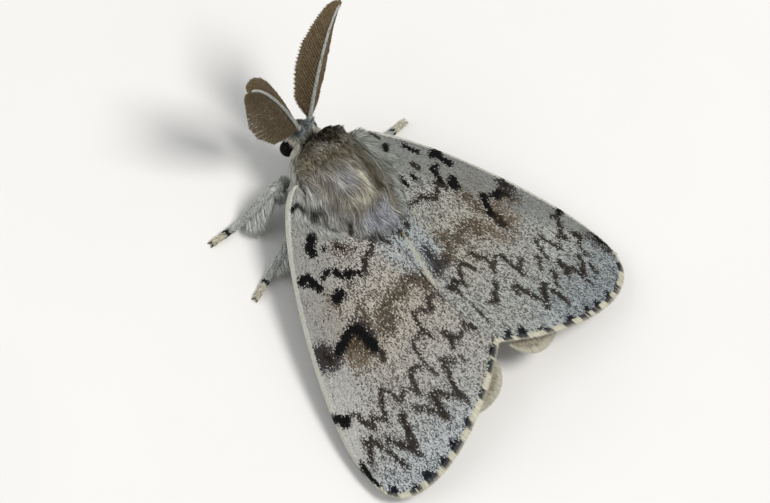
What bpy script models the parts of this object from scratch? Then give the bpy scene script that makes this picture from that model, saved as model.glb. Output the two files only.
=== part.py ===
"""A life-size Lymantria moth, a male, at rest on its six legs with the wings closed into a low roof.

The head points to -Y, the left side is +X and the floor is z = 0. Sizes and places are in millimetres,
and settle() turns each finished mesh into metres. The origin is the middle of the model's box, on the floor.
"""

import math
import random

import bmesh
import bpy
from mathutils import Matrix, Vector
from mathutils.geometry import interpolate_bezier

MM = 0.001
GAP = 0.3
SHEET = 0.5
SIDES = {"left": 1, "right": -1}
SEED = 11

# Thorax core, a rounded barrel inside its coat of locks
THORAX_CENTRE = Vector((0.0, -4.4, 3.75))
THORAX_HALF = Vector((2.65, 3.55, 2.3))
THORAX_BLUNT = 2.3
LOCK_WIDTH = 0.85
LOCK_THICKNESS = 0.46
LOCK_LENGTH = 2.3
LOCK_ROOT = 0.7
LOW_LOCK_SHARE = 0.75
# Rows of locks: angle back from the front pole, how many, and how far round from the top each row reaches
LOCK_ROWS = ((26, 9, 112), (48, 10, 104), (70, 8, 62), (92, 8, 58), (114, 7, 54), (136, 5, 44))
# Single locks below: angle back and turn, on the flanks and along the breast between the legs
LOW_LOCKS = ((70, 112), (70, -112), (38, 180), (60, 180), (82, 180))
UNDER_WING_TURN = 72

# Head, eyes and palps
HEAD_CENTRE = Vector((0.0, -8.85, 4.35))
HEAD_HALF = Vector((1.22, 0.95, 1.25))
EYE_CENTRE = Vector((1.15, -8.7, 4.05))
EYE_RADIUS = 0.56
EYE_GAP = 0.22
# Tufts of the head: turn round from the top, angle back from the front pole, and length
HEAD_TUFTS = ((-40, 50, 0.7), (0, 44, 0.8), (40, 50, 0.7), (-25, 20, 0.7), (25, 20, 0.7))
PALP_LENGTH = 1.25
PALP_RADIUS = 0.3

# Abdomen: its axis falls towards the tail, under the wings
ABDOMEN_FRONT_Y = -2.5
ABDOMEN_REAR_Y = 9.3
ABDOMEN_RADIUS = 1.36
ABDOMEN_RINGS = 8
TAIL_TUFT_LENGTH = 1.3

# Roof of the wings: height of its ridge at y = 0, its fall to the rear, its side slope and its camber
RIDGE_HEIGHT = 4.66
RIDGE_FALL = 0.042
ROOF_SLOPE = 0.2
ROOF_CAMBER = 0.003
SEAM_BOW = 0.55
SEAM_REACH = 10.6
VEIN_HEIGHT = 0.13
VEIN_HALF_WIDTH = 0.014
MARGIN_THICKNESS = 0.32

# Plan of the left forewing as Bezier handles, root to apex and apex to tornus
FORE_COSTA = ((2.7, -6.4), (4.8, -7.5), (13.2, 6.4), (12.75, 11.0))
FORE_MARGIN = ((12.75, 11.0), (13.48, 15.45), (6.41, 14.87), (0.08, 10.5))
FORE_ROWS = 13
# Each main vein: its place from costa (0) to inner edge (1), and where it leaves the root or the cell
FORE_VEINS = ((0.09, 0.0), (0.2, 0.0), (0.3, 0.5), (0.4, 0.55), (0.5, 0.58), (0.6, 0.58), (0.7, 0.0), (0.8, 0.45), (0.91, 0.0))

HIND_COSTA = ((2.85, -3.2), (5.0, -3.4), (9.8, 1.0), (9.9, 6.5))
HIND_MARGIN = ((9.9, 6.5), (10.3, 10.5), (2.4, 15.9), (0.75, 11.4))
HIND_INNER = ((2.75, -1.9), (1.9, 3.0), (2.3, 8.0), (0.75, 11.4))
HIND_ROWS = 10
HIND_VEINS = ((0.1, 0.0), (0.3, 0.45), (0.45, 0.5), (0.6, 0.5), (0.75, 0.0), (0.9, 0.0))

# Antenna: a shaft with two rows of rami, which open like a V to the front and down
SHAFT = ((0.53, -8.85, 5.85), (1.4, -10.17, 8.0), (3.27, -12.4, 11.5), (4.67, -12.74, 12.05))
SHAFT_RADIUS = 0.27
SHAFT_TIP_RADIUS = 0.13
RAMI_PER_ROW = 11
RAMUS_THICKNESS = 0.42
# Each row: the way its rami open from the shaft, their sweep from its line at foot and tip, and the longest ramus
RAMI_ROWS = (((0.83, -0.12, -0.54), 88, 58, 2.6), ((-0.63, -0.75, -0.18), 42, 36, 2.5))

# Legs: where each leaves the thorax (angle back, angle round), then trochanter, knee, ankle and toe, left side
LEGS = {
    "fore_left": ((50, 150), (2.0, -7.1, 1.75), (3.3, -7.3, 2.6), (5.3, -7.2, 0.85), (8.1, -7.6, 0.0)),
    "fore_right": ((50, 150), (1.9, -7.0, 1.75), (2.9, -7.1, 2.7), (3.8, -6.95, 0.85), (5.9, -4.9, 0.0)),
    "mid_left": ((88, 146), (2.4, -4.3, 1.3), (4.0, -4.5, 2.5), (6.3, -3.6, 0.95), (8.7, -3.0, 0.0)),
    "mid_right": ((88, 146), (2.4, -4.3, 1.3), (4.0, -4.7, 2.5), (6.4, -4.5, 0.95), (8.9, -4.35, 0.0)),
    "hind_left": ((120, 138), (2.3, -1.7, 1.45), (3.9, -0.2, 1.75), (5.7, 2.7, 0.85), (6.9, 5.6, 0.0)),
    "hind_right": ((120, 138), (2.3, -1.7, 1.45), (3.9, -0.2, 1.75), (5.8, 2.6, 0.85), (7.2, 5.4, 0.0)),
}
FEMUR_RADII = (0.36, 0.36, 0.4, 0.3)
TIBIA_RADIUS = 0.31
TARSUS_RADIUS = 0.27
TARSUS_AXLE = 0.17
TARSUS_SEGMENTS = 5
CLAW_LENGTH = 0.34
# Hair tufts of each tibia and femur: number of locks and length at the longest
TIBIA_TUFTS = {"fore": (10, 2.0), "mid": (6, 1.45), "hind": (5, 1.2)}
FEMUR_TUFTS = {"fore": (4, 1.25), "mid": (3, 1.1), "hind": (3, 0.9)}
TUFT_LIE = Vector((0.28, 0.78, -0.42))

COLOURS = {
    "thorax": (0.47, 0.44, 0.38),
    "head": (0.62, 0.62, 0.6),
    "eye": (0.01, 0.01, 0.01),
    "abdomen": (0.66, 0.6, 0.5),
    "forewing": (0.66, 0.65, 0.62),
    "hindwing": (0.72, 0.68, 0.56),
    "antenna": (0.27, 0.2, 0.13),
    "leg": (0.82, 0.82, 0.78),
}


def clear_scene():
    """Removes every object that the file opened with."""
    for obj in list(bpy.data.objects):
        bpy.data.objects.remove(obj)


def material(name):
    """A plain Principled material in the colour of that part of the moth."""
    made = bpy.data.materials.get(name)
    if made is None:
        made = bpy.data.materials.new(name)
        made.use_nodes = True
        shader = made.node_tree.nodes["Principled BSDF"]
        shader.inputs["Base Color"].default_value = (*COLOURS[name], 1.0)
        shader.inputs["Roughness"].default_value = 0.25 if name == "eye" else 0.8
        shader.inputs["Metallic"].default_value = 0.0
    return made


def closed_mesh(name, points, faces):
    """A mesh object of these points and faces, with its faces turned outwards."""
    mesh = bpy.data.meshes.new(name)
    mesh.from_pydata([tuple(p) for p in points], [], faces)
    shape = bmesh.new()
    shape.from_mesh(mesh)
    bmesh.ops.recalc_face_normals(shape, faces=shape.faces)
    if shape.calc_volume(signed=True) < 0:
        bmesh.ops.reverse_faces(shape, faces=shape.faces)
    shape.to_mesh(mesh)
    shape.free()
    obj = bpy.data.objects.new(name, mesh)
    bpy.context.scene.collection.objects.link(obj)
    return obj


def rings_to_solid(name, rings, tip=None):
    """Joins rings of equal count into a closed solid, with a flat first end and a flat or pointed last end."""
    count = len(rings[0])
    points = [p for ring in rings for p in ring]
    faces = [list(range(count))[::-1]]
    for row in range(len(rings) - 1):
        for i in range(count):
            a, b = row * count + i, row * count + (i + 1) % count
            faces.append([a, b, b + count, a + count])
    last = (len(rings) - 1) * count
    if tip is None:
        faces.append([last + i for i in range(count)])
    else:
        points.append(tip)
        faces += [[last + i, last + (i + 1) % count, len(points) - 1] for i in range(count)]
    return closed_mesh(name, points, faces)


def directions(path):
    """The unit direction of a path at each of its points."""
    last = len(path) - 1
    return [(path[min(i + 1, last)] - path[max(i - 1, 0)]).normalized() for i in range(len(path))]


def tube(name, path, radii, sides=8, tip=None):
    """A round closed tube along a path, with a radius at each point."""
    across = directions(path)[0].orthogonal().normalized()
    rings = []
    for centre, along, radius in zip(path, directions(path), radii):
        across = (across - along * across.dot(along)).normalized()
        other = along.cross(across)
        turns = [2 * math.pi * i / sides for i in range(sides)]
        rings.append([centre + radius * (across * math.cos(a) + other * math.sin(a)) for a in turns])
    return rings_to_solid(name, rings, tip)


def lock(path, width, thickness, up):
    """One flat, tapered lock along a path: full at its root, widest after it, and pointed at the last point."""
    share = (0.8, 1.0, 0.72)
    rings = []
    for centre, along, part in zip(path[:-1], directions(path)[:-1], share):
        lift = (up - along * up.dot(along)).normalized()
        side = along.cross(lift)
        half_width, half_depth = width * part / 2, thickness * (0.5 + part / 2) / 2
        rings.append([centre + side * half_width, centre + lift * half_depth, centre - side * half_width, centre - lift * half_depth])
    return rings_to_solid("lock", rings, path[-1])


def largest_surface(shape):
    """Keeps only the largest closed surface of a bmesh."""
    left, groups = set(shape.faces), []
    while left:
        todo, group = [left.pop()], []
        while todo:
            face = todo.pop()
            group.append(face)
            near = {f for edge in face.edges for f in edge.link_faces} & left
            left -= near
            todo += near
        groups.append(group)
    groups.sort(key=lambda faces: sum(face.calc_area() for face in faces))
    for group in groups[:-1]:
        bmesh.ops.delete(shape, geom=group, context="FACES")


def take_modifiers(obj):
    """Applies an object's modifiers to its mesh, and keeps the largest closed surface."""
    graph = bpy.context.evaluated_depsgraph_get()
    mesh = bpy.data.meshes.new_from_object(obj.evaluated_get(graph))
    obj.modifiers.clear()
    shape = bmesh.new()
    shape.from_mesh(mesh)
    largest_surface(shape)
    shape.to_mesh(mesh)
    shape.free()
    obj.data = mesh


def combine(obj, operation, others):
    """Unites an object with closed pieces, or cuts them from it, and removes the pieces."""
    pieces = bpy.data.collections.new("pieces")
    bpy.context.scene.collection.children.link(pieces)
    for other in others:
        bpy.context.scene.collection.objects.unlink(other)
        pieces.objects.link(other)
    boolean = obj.modifiers.new("combine", "BOOLEAN")
    boolean.operation = operation
    boolean.operand_type = "COLLECTION"
    boolean.collection = pieces
    boolean.solver = "MANIFOLD"
    take_modifiers(obj)
    for other in others:
        bpy.data.objects.remove(other)
    bpy.data.collections.remove(pieces)
    return obj


def settle(obj, name, colour):
    """Names a finished node, gives it its material and turns its mesh into metres."""
    obj.name = name
    obj.data.name = name
    obj.data.transform(Matrix.Scale(MM, 4))
    obj.data.materials.clear()
    obj.data.materials.append(material(colour))
    obj.data.shade_smooth()
    obj.data.set_sharp_from_angle(angle=math.radians(50))
    return obj


def on_ball(centre, half, back, turn, blunt=2.0):
    """The point at angle back from the front pole and turn round from the top, and the outward normal there."""
    back, turn = math.radians(back), math.radians(turn)
    along = -math.copysign(abs(math.cos(back)) ** (2 / blunt), math.cos(back))
    out = abs(math.sin(back)) ** (2 / blunt)
    place = centre + Vector((half.x * out * math.sin(turn), half.y * along, half.z * out * math.cos(turn)))
    steep = math.copysign(abs(along) ** (blunt - 1), along)
    out **= blunt - 1
    normal = Vector((out * math.sin(turn) / half.x, steep / half.y, out * math.cos(turn) / half.z))
    return place, normal.normalized()


def ball(name, centre, half, around=24, along=14, blunt=2.0):
    """A closed ball with its poles on the Y axis. Over 2, blunt makes it more like a barrel."""
    points = [centre - Vector((0, half.y, 0))]
    for row in range(1, along):
        for i in range(around):
            points.append(on_ball(centre, half, 180 * row / along, 360 * i / around, blunt)[0])
    points.append(centre + Vector((0, half.y, 0)))
    faces = []
    for i in range(around):
        after = (i + 1) % around
        faces.append([0, 1 + i, 1 + after])
        for row in range(along - 2):
            a, b = 1 + row * around + i, 1 + row * around + after
            faces.append([a, a + around, b + around, b])
        last = 1 + (along - 2) * around
        faces.append([last + i, len(points) - 1, last + after])
    return closed_mesh(name, points, faces)


def thorax_place(back, turn):
    """A place on the thorax core, and its normal."""
    return on_ball(THORAX_CENTRE, THORAX_HALF, back, turn, THORAX_BLUNT)


def thorax_room():
    """The thorax core grown by the gap, to cut its neighbours clear of it."""
    return ball("room", THORAX_CENTRE, THORAX_HALF + Vector((GAP, GAP, GAP)), 32, 20, THORAX_BLUNT)


def roof_height(x, y):
    """Height of the top face of the forewings."""
    x = abs(x)
    return RIDGE_HEIGHT - RIDGE_FALL * y - ROOF_SLOPE * x - ROOF_CAMBER * x * x


def coat_path(back, turn, length, drift):
    """The line of one thorax lock: out of the core, then back along it, and clear of the wings."""
    start, normal = thorax_place(back, turn)
    path = [start - normal * LOCK_ROOT]
    place = start.copy()
    for lift, step in zip((0.12, 0.24, 0.2), (0.18, 0.42, 0.4)):
        arm = place - THORAX_CENTRE
        out = math.hypot(arm.x / THORAX_HALF.x, arm.z / THORAX_HALF.z)
        along = arm.y / THORAX_HALF.y
        size = (abs(along) ** THORAX_BLUNT + out**THORAX_BLUNT) ** (1 / THORAX_BLUNT)
        wide = out ** (THORAX_BLUNT - 2)
        steep = math.copysign(abs(along) ** (THORAX_BLUNT - 1), along)
        normal = Vector((wide * arm.x / THORAX_HALF.x**2, steep / THORAX_HALF.y, wide * arm.z / THORAX_HALF.z**2))
        normal.normalize()
        flow = Vector((drift, 1.0, -0.1))
        flow = (flow - normal * flow.dot(normal) * 0.92).normalized()
        place = place - normal * (size - 1) * 0.8 + flow * length * step
        point = place + normal * lift
        roof = roof_height(point.x, point.y)
        if abs(turn) < UNDER_WING_TURN:
            point.z = max(point.z, roof + GAP + LOCK_THICKNESS * 0.62)
        elif point.y > FORE_COSTA[0][1] - GAP:
            point.z = min(point.z, roof - SHEET - GAP - LOCK_WIDTH / 2)
        path.append(point)
    return path


def make_thorax(chance):
    """The thorax with its coat of overlapping locks, which run back from the collar."""
    core = ball("core", THORAX_CENTRE, THORAX_HALF, 24, 14, THORAX_BLUNT)
    locks = []
    for row, (back, count, reach) in enumerate(LOCK_ROWS):
        for i in range(count):
            spot = (i + 0.5 * (row % 2)) / (count - 1 + 0.5) * 2 - 1 + 0.25 / count
            turn = spot * reach + chance.uniform(-2, 2)
            length = LOCK_LENGTH * chance.uniform(0.85, 1.1)
            path = coat_path(back, turn, length, 0.25 * math.sin(math.radians(turn)))
            up = (path[1] - THORAX_CENTRE).normalized()
            locks.append(lock(path, LOCK_WIDTH * chance.uniform(0.9, 1.1), LOCK_THICKNESS, up))
    for back, turn in LOW_LOCKS:
        path = coat_path(back, turn, LOCK_LENGTH * LOW_LOCK_SHARE, 0.0)
        locks.append(lock(path, LOCK_WIDTH, LOCK_THICKNESS, (path[1] - THORAX_CENTRE).normalized()))
    combine(core, "UNION", locks)
    settle(core, "thorax", "thorax")


def make_head(chance):
    """The head with sockets for the eyes, tufts over the face and on the crown."""
    core = ball("core", HEAD_CENTRE, HEAD_HALF, around=18, along=11)
    cutters = [thorax_room()]
    for side in SIDES.values():
        centre = Vector((EYE_CENTRE.x * side, EYE_CENTRE.y, EYE_CENTRE.z))
        size = EYE_RADIUS + EYE_GAP
        cutters.append(ball("socket", centre, Vector((size, size, size)), around=14, along=9))
    combine(core, "DIFFERENCE", cutters)
    locks = []
    for turn, back, length in HEAD_TUFTS:
        start, normal = on_ball(HEAD_CENTRE, HEAD_HALF, back, turn)
        lie = Vector((-0.12 * math.sin(math.radians(turn)), -0.8, -0.5))
        length *= chance.uniform(0.9, 1.1)
        path = [
            start - normal * 0.45,
            start + normal * 0.05 + lie * length * 0.1,
            start + normal * 0.16 + lie * length * 0.5,
            start + normal * 0.12 + lie * length,
        ]
        locks.append(lock(path, 0.6, 0.44, normal))
    combine(core, "UNION", locks)
    settle(core, "head", "head")


def make_eye(label, side):
    """One compound eye, a ball in its socket."""
    centre = Vector((EYE_CENTRE.x * side, EYE_CENTRE.y, EYE_CENTRE.z))
    eye = ball("eye", centre, Vector((EYE_RADIUS, EYE_RADIUS, EYE_RADIUS)), around=14, along=9)
    settle(eye, f"eye_{label}", "eye")


def make_palp(label, side):
    """One labial palp, which points forward under the face."""
    start, normal = on_ball(HEAD_CENTRE, HEAD_HALF, 52, 160 * side)
    root = start + normal * GAP
    bend = root + normal * PALP_LENGTH * 0.22
    lie = Vector((0.06 * side, -0.9, 0.34)).normalized()
    path = [root, bend] + [bend + lie * PALP_LENGTH * share for share in (0.25, 0.5)]
    radii = [PALP_RADIUS * share for share in (0.8, 1.0, 0.95, 0.7)]
    palp = tube("palp", path, radii, sides=8, tip=bend + lie * PALP_LENGTH * 0.8)
    settle(palp, f"palp_{label}", "head")


def make_antenna(label, side):
    """One feathered antenna: a curved shaft with two rows of tapered rami."""
    handles = [Vector((x * side, y, z)) for x, y, z in SHAFT]
    path = interpolate_bezier(*handles, 17)
    along = directions(path)
    last = len(path) - 1
    radii = [SHAFT_RADIUS + (SHAFT_TIP_RADIUS - SHAFT_RADIUS) * (i / last) ** 2 for i in range(last + 1)]
    shaft = tube("shaft", path, radii, sides=6)
    rami = []
    for opening, sweep_foot, sweep_tip, longest in RAMI_ROWS:
        opening = Vector((opening[0] * side, opening[1], opening[2]))
        for i in range(RAMI_PER_ROW):
            share = 0.06 + 0.9 * i / (RAMI_PER_ROW - 1)
            spot = share * last
            low = min(int(spot), last - 1)
            root = path[low].lerp(path[low + 1], spot - low)
            onward = along[low].lerp(along[low + 1], spot - low).normalized()
            out = (opening - onward * opening.dot(onward)).normalized()
            sweep = math.radians(sweep_foot + (sweep_tip - sweep_foot) * share)
            way = onward * math.cos(sweep) + out * math.sin(sweep)
            length = longest * ramus_share(share)
            ends = [root, root + way * length * 0.35, root + way * length * 0.72, root + (way + onward * 0.1) * length]
            thickness = min(RAMUS_THICKNESS, 0.2 + 0.2 * length)
            rami.append(lock(ends, thickness, thickness, way.cross(onward).normalized()))
    combine(shaft, "UNION", rami)
    settle(shaft, f"antenna_{label}", "antenna")


def ramus_share(share):
    """Length of a ramus against the longest one, from the foot of the shaft (0) to its tip (1)."""
    return min(0.78 + 1.2 * share, 1.0) * (1 - 0.87 * max(share - 0.42, 0) / 0.58) ** 0.85


def make_abdomen(chance):
    """The ringed abdomen under the wings, cut clear of the thorax, with its tail tuft."""
    rings_each, sides = 3, 16
    total = ABDOMEN_RINGS * rings_each
    rings = []
    for row in range(total + 1):
        share = row / total
        centre = Vector((0, ABDOMEN_FRONT_Y + (ABDOMEN_REAR_Y - ABDOMEN_FRONT_Y) * share, 2.62 - 0.4 * share))
        swell = math.sin(math.pi * min(share + 0.16, 1.0) ** 0.75)
        radius = ABDOMEN_RADIUS * (0.36 + 0.64 * max(swell, 0) ** 0.7)
        radius *= 1 + 0.035 * math.sin(2 * math.pi * (row % rings_each) / rings_each)
        turns = [2 * math.pi * i / sides for i in range(sides)]
        rings.append([centre + Vector((math.sin(a) * radius, 0, math.cos(a) * radius * 0.94)) for a in turns])
    core = rings_to_solid("core", rings)
    tuft = []
    for i in range(7):
        turn = 2 * math.pi * i / 7
        out = Vector((math.sin(turn), 0, math.cos(turn)))
        root = Vector((0, ABDOMEN_REAR_Y - 0.6, 2.23)) + out * 0.2
        length = TAIL_TUFT_LENGTH * chance.uniform(0.85, 1.05)
        path = [root, root + Vector((0, 0.5, 0)) + out * 0.12, root + Vector((0, 0.6 + length * 0.45, 0)) + out * 0.2,
                root + Vector((0, 0.6 + length, 0)) + out * 0.08]
        tuft.append(lock(path, 0.6, 0.44, out))
    combine(core, "UNION", tuft)
    combine(core, "DIFFERENCE", [thorax_room()])
    settle(core, "abdomen", "abdomen")


def bezier(handles, count):
    """Points along a plan curve of four handles."""
    return [p.to_2d() for p in interpolate_bezier(*[Vector((x, y, 0)) for x, y in handles], count)]


def at(curve, share):
    """The point at that share of a curve's points."""
    spot = share * (len(curve) - 1)
    low = min(int(spot), len(curve) - 2)
    return curve[low].lerp(curve[low + 1], spot - low)


def fore_inner(side):
    """Inner edge of a forewing in plan: round the thorax, then along the seam, which bows to the left side."""
    half_x, half_y = THORAX_HALF.x + GAP, THORAX_HALF.y + GAP
    edge = []
    for degrees in (4, 20, 36, 52, 66, 78):
        across, back = math.cos(math.radians(degrees)), math.sin(math.radians(degrees))
        power = 2 / THORAX_BLUNT
        edge.append(Vector((half_x * across**power, THORAX_CENTRE.y + half_y * back**power)))
    for y in (0.6, 2.5, 4.5, 6.5, 8.5, SEAM_REACH - 0.1):
        edge.append(Vector((GAP / 2 + side * SEAM_BOW * math.sin(math.pi * y / SEAM_REACH), y)))
    return edge


def wing_columns(veins):
    """Places across a wing, with three for each vein: its two feet and its crest."""
    places = [(0.0, None), (1.0, None)]
    for index, (place, _) in enumerate(veins):
        places += [(place - VEIN_HALF_WIDTH, None), (place, index), (place + VEIN_HALF_WIDTH, None)]
    return sorted(places, key=lambda p: p[0])


def make_wing(name, side, costa, margin, inner, rows, veins, drop, ridge_side, colour):
    """One wing as a sheet over the roof, with its main veins raised on one face.

    drop is how far its top face lies under the top of the forewings, and ridge_side is 1 for veins on top.
    """
    root = [costa[0], inner[0]]
    columns = wing_columns(veins)
    top, bottom = [], []
    for row in range(rows + 1):
        share = row / rows
        for place, vein in columns:
            edges = at(costa, share) * (1 - place) + at(inner, share) * place
            ends = at(root, place) * (1 - share) + at(margin, place) * share
            corners = (costa[0] * (1 - place) + inner[0] * place) * (1 - share)
            corners += (costa[-1] * (1 - place) + inner[-1] * place) * share
            plan = edges + ends - corners
            height = roof_height(plan.x, plan.y) - drop
            thin = (SHEET - MARGIN_THICKNESS) / 2 * max(share * rows - (rows - 1), 0)
            crest = VEIN_HEIGHT if vein is not None and veins[vein][1] <= share < 0.99 else 0.0
            top.append(Vector((plan.x * side, plan.y, height - thin + crest * (ridge_side > 0))))
            bottom.append(Vector((plan.x * side, plan.y, height - SHEET + thin - crest * (ridge_side < 0))))
    width = len(columns)
    faces = []
    for row in range(rows):
        for i in range(width - 1):
            a, b = row * width + i, row * width + i + 1
            c, d = b + width, a + width
            faces += [[a, b, c], [a, c, d]]
            faces += [[p + len(top) for p in face][::-1] for face in ([a, b, c], [a, c, d])]
    rim = list(range(width)) + [row * width + width - 1 for row in range(1, rows + 1)]
    rim += [rows * width + i for i in range(width - 2, -1, -1)] + [row * width for row in range(rows - 1, 0, -1)]
    for a, b in zip(rim, rim[1:] + rim[:1]):
        faces.append([a, b, b + len(top), a + len(top)])
    settle(closed_mesh(name, top + bottom, faces), name, colour)


def make_wings():
    """The two forewings on the roof and the two hindwings under them."""
    for label, side in SIDES.items():
        inner = fore_inner(side)
        margin = FORE_MARGIN[:3] + (tuple(inner[-1]),)
        make_wing(f"forewing_{label}", side, bezier(FORE_COSTA, 40), bezier(margin, 40), inner,
                  FORE_ROWS, FORE_VEINS, 0.0, 1, "forewing")
        make_wing(f"hindwing_{label}", side, bezier(HIND_COSTA, 40), bezier(HIND_MARGIN, 40), bezier(HIND_INNER, 40),
                  HIND_ROWS, HIND_VEINS, SHEET + GAP, -1, "hindwing")


def tuft_on(limb, count, longest, side, chance):
    """Locks along one side of a limb, longest past its middle, which hang back and down."""
    start, end = limb
    locks = []
    for i in range(count):
        share = 0.08 + 0.88 * (i + 0.5) / count
        row = i % 2
        lie = Vector(((TUFT_LIE.x + 0.16 * row) * side, TUFT_LIE.y, TUFT_LIE.z * (1 - 0.75 * row))).normalized()
        length = longest * (0.55 + 0.45 * math.sin(math.pi * share)) * chance.uniform(0.9, 1.05)
        root = start.lerp(end, share)
        drop = (root.z - 0.12) / max(-lie.z, 0.01)
        length = min(length, drop)
        sag = Vector((0, 0, -0.08 * length))
        path = [root, root + lie * length * 0.3, root + lie * length * 0.68 + sag * 0.4, root + lie * length + sag]
        path[-1].z = max(path[-1].z, 0.12)
        along = (end - start).normalized()
        locks.append(lock(path, 0.62, 0.44, lie.cross(along).normalized()))
    return locks


def flatten_foot(obj):
    """Cuts a tarsus level with the floor, so that it stands on a small flat."""
    shape = bmesh.new()
    shape.from_mesh(obj.data)
    everything = shape.verts[:] + shape.edges[:] + shape.faces[:]
    cut = bmesh.ops.bisect_plane(shape, geom=everything, plane_co=(0, 0, 0), plane_no=(0, 0, 1), clear_inner=True)
    edges = [e for e in cut["geom_cut"] if isinstance(e, bmesh.types.BMEdge)]
    bmesh.ops.edgenet_fill(shape, edges=edges)
    bmesh.ops.recalc_face_normals(shape, faces=shape.faces)
    shape.to_mesh(obj.data)
    shape.free()


def make_tarsus(name, ankle, toe, side):
    """A foot of five joints that comes down from the ankle and lies on the floor, with two claws."""
    flat = Vector((toe.x, toe.y, TARSUS_AXLE))
    heel = ankle.lerp(flat, 0.34)
    heel.z = TARSUS_AXLE + 0.1
    handles = [ankle, ankle.lerp(heel, 0.7) - Vector((0, 0, 0.12)), heel, flat]
    line = interpolate_bezier(*handles, TARSUS_SEGMENTS * 3 + 1)
    path, radii = [], []
    for i, point in enumerate(line):
        waist = 0.12 if i % 3 == 0 else 0.0
        path.append(Vector((point.x, point.y, max(point.z, TARSUS_AXLE))))
        radii.append((TARSUS_RADIUS - 0.03 * i / len(line)) * (1 - waist * (0 < i < len(line) - 1)))
    foot = tube("foot", path, radii, sides=8)
    onward = (flat - heel).normalized()
    onward.z = 0
    across = onward.cross(Vector((0, 0, 1))).normalized()
    claws = []
    for way in (-1, 1):
        root = flat - onward * 0.2 + across * 0.1 * way
        tip = flat + onward * CLAW_LENGTH + across * 0.2 * way
        tip.z = 0.06
        middle = root.lerp(tip, 0.6)
        middle.z = 0.2
        claws.append(lock([root, root.lerp(middle, 0.6), middle, tip], 0.3, 0.26, Vector((0, 0, 1))))
    combine(foot, "UNION", claws)
    flatten_foot(foot)
    settle(foot, name, "leg")


def make_leg(label, chance):
    """One leg: coxa with femur, then tibia, then tarsus, each a node that stops short of the next."""
    place, side_name = label.split("_")
    side = SIDES[side_name]
    (back, turn), *joints = LEGS[label]
    trochanter, knee, ankle, toe = [Vector((x * side, y, z)) for x, y, z in joints]
    start, normal = thorax_place(back, turn * side)
    hip = start + normal * GAP
    shin = (ankle - knee).normalized()
    thigh = (knee - trochanter).normalized()
    path = [hip, hip + normal * 0.45, trochanter, trochanter.lerp(knee, 0.5), knee - thigh * 0.12]
    radii = (FEMUR_RADII[0],) + FEMUR_RADII
    femur = tube("femur", path, radii)
    count, longest = FEMUR_TUFTS[place]
    combine(femur, "UNION", tuft_on((path[2], path[4]), count, longest, side, chance))
    settle(femur, f"leg_{label}_femur", "leg")

    top = knee + shin * (GAP + 0.2) + Vector((0, 0, 0.02))
    low = ankle - shin * 0.02
    path = [top, top.lerp(low, 0.4), top.lerp(low, 0.8), low]
    tibia = tube("tibia", path, [TIBIA_RADIUS * share for share in (0.95, 1.05, 1.0, 0.85)])
    count, longest = TIBIA_TUFTS[place]
    combine(tibia, "UNION", tuft_on((top, low), count, longest, side, chance))
    settle(tibia, f"leg_{label}_tibia", "leg")

    onward = Vector((toe.x - ankle.x, toe.y - ankle.y, 0)).normalized()
    foot_top = ankle + shin * GAP + onward * 0.1
    foot_top.z = max(foot_top.z, 0.42)
    make_tarsus(f"leg_{label}_tarsus", foot_top, toe, side)


def centre_model():
    """Moves the whole model level, so that the origin is under the middle of its box."""
    nodes = [obj for obj in bpy.data.objects if obj.type == "MESH"]
    points = [v.co for obj in nodes for v in obj.data.vertices]
    middle = [(min(p[axis] for p in points) + max(p[axis] for p in points)) / 2 for axis in (0, 1)]
    for obj in nodes:
        obj.data.transform(Matrix.Translation((-middle[0], -middle[1], 0.0)))


def main():
    clear_scene()
    chance = random.Random(SEED)
    make_thorax(chance)
    make_head(chance)
    make_abdomen(chance)
    make_wings()
    for label, side in SIDES.items():
        make_eye(label, side)
        make_palp(label, side)
        make_antenna(label, side)
    for label in LEGS:
        make_leg(label, chance)
    centre_model()


main()
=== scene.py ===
"""Looks of a life-size Lymantria moth, a male at rest with its wings closed into a low roof.

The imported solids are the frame. Over them go one skin for the body and legs, a sheet for each wing, and a
coat of solid hairs and scales. Sizes are millimetres in the frame the moth was designed in: its head points
to -Y, its left is +X and the floor is z = 0. make_piece() moves each one to its place in metres.
"""

import math

import bmesh
import bpy
import numpy as np
from mathutils import Matrix, Vector


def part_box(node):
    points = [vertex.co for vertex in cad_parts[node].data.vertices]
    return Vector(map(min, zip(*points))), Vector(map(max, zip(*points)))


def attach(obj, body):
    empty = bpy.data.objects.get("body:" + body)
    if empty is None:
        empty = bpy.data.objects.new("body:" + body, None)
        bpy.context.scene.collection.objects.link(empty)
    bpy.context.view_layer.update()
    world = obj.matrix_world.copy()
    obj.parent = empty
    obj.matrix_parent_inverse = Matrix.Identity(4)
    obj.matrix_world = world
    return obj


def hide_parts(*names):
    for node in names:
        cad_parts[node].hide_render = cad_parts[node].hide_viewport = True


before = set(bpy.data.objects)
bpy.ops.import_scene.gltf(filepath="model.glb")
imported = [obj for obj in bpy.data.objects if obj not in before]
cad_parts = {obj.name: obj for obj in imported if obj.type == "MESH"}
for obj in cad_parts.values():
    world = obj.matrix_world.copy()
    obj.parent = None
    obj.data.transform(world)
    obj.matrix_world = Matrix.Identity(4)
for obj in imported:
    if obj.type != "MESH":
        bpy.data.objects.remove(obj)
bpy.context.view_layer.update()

MM = 0.001
SEED = 7
SIDES = {"left": 1, "right": -1}

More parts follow.
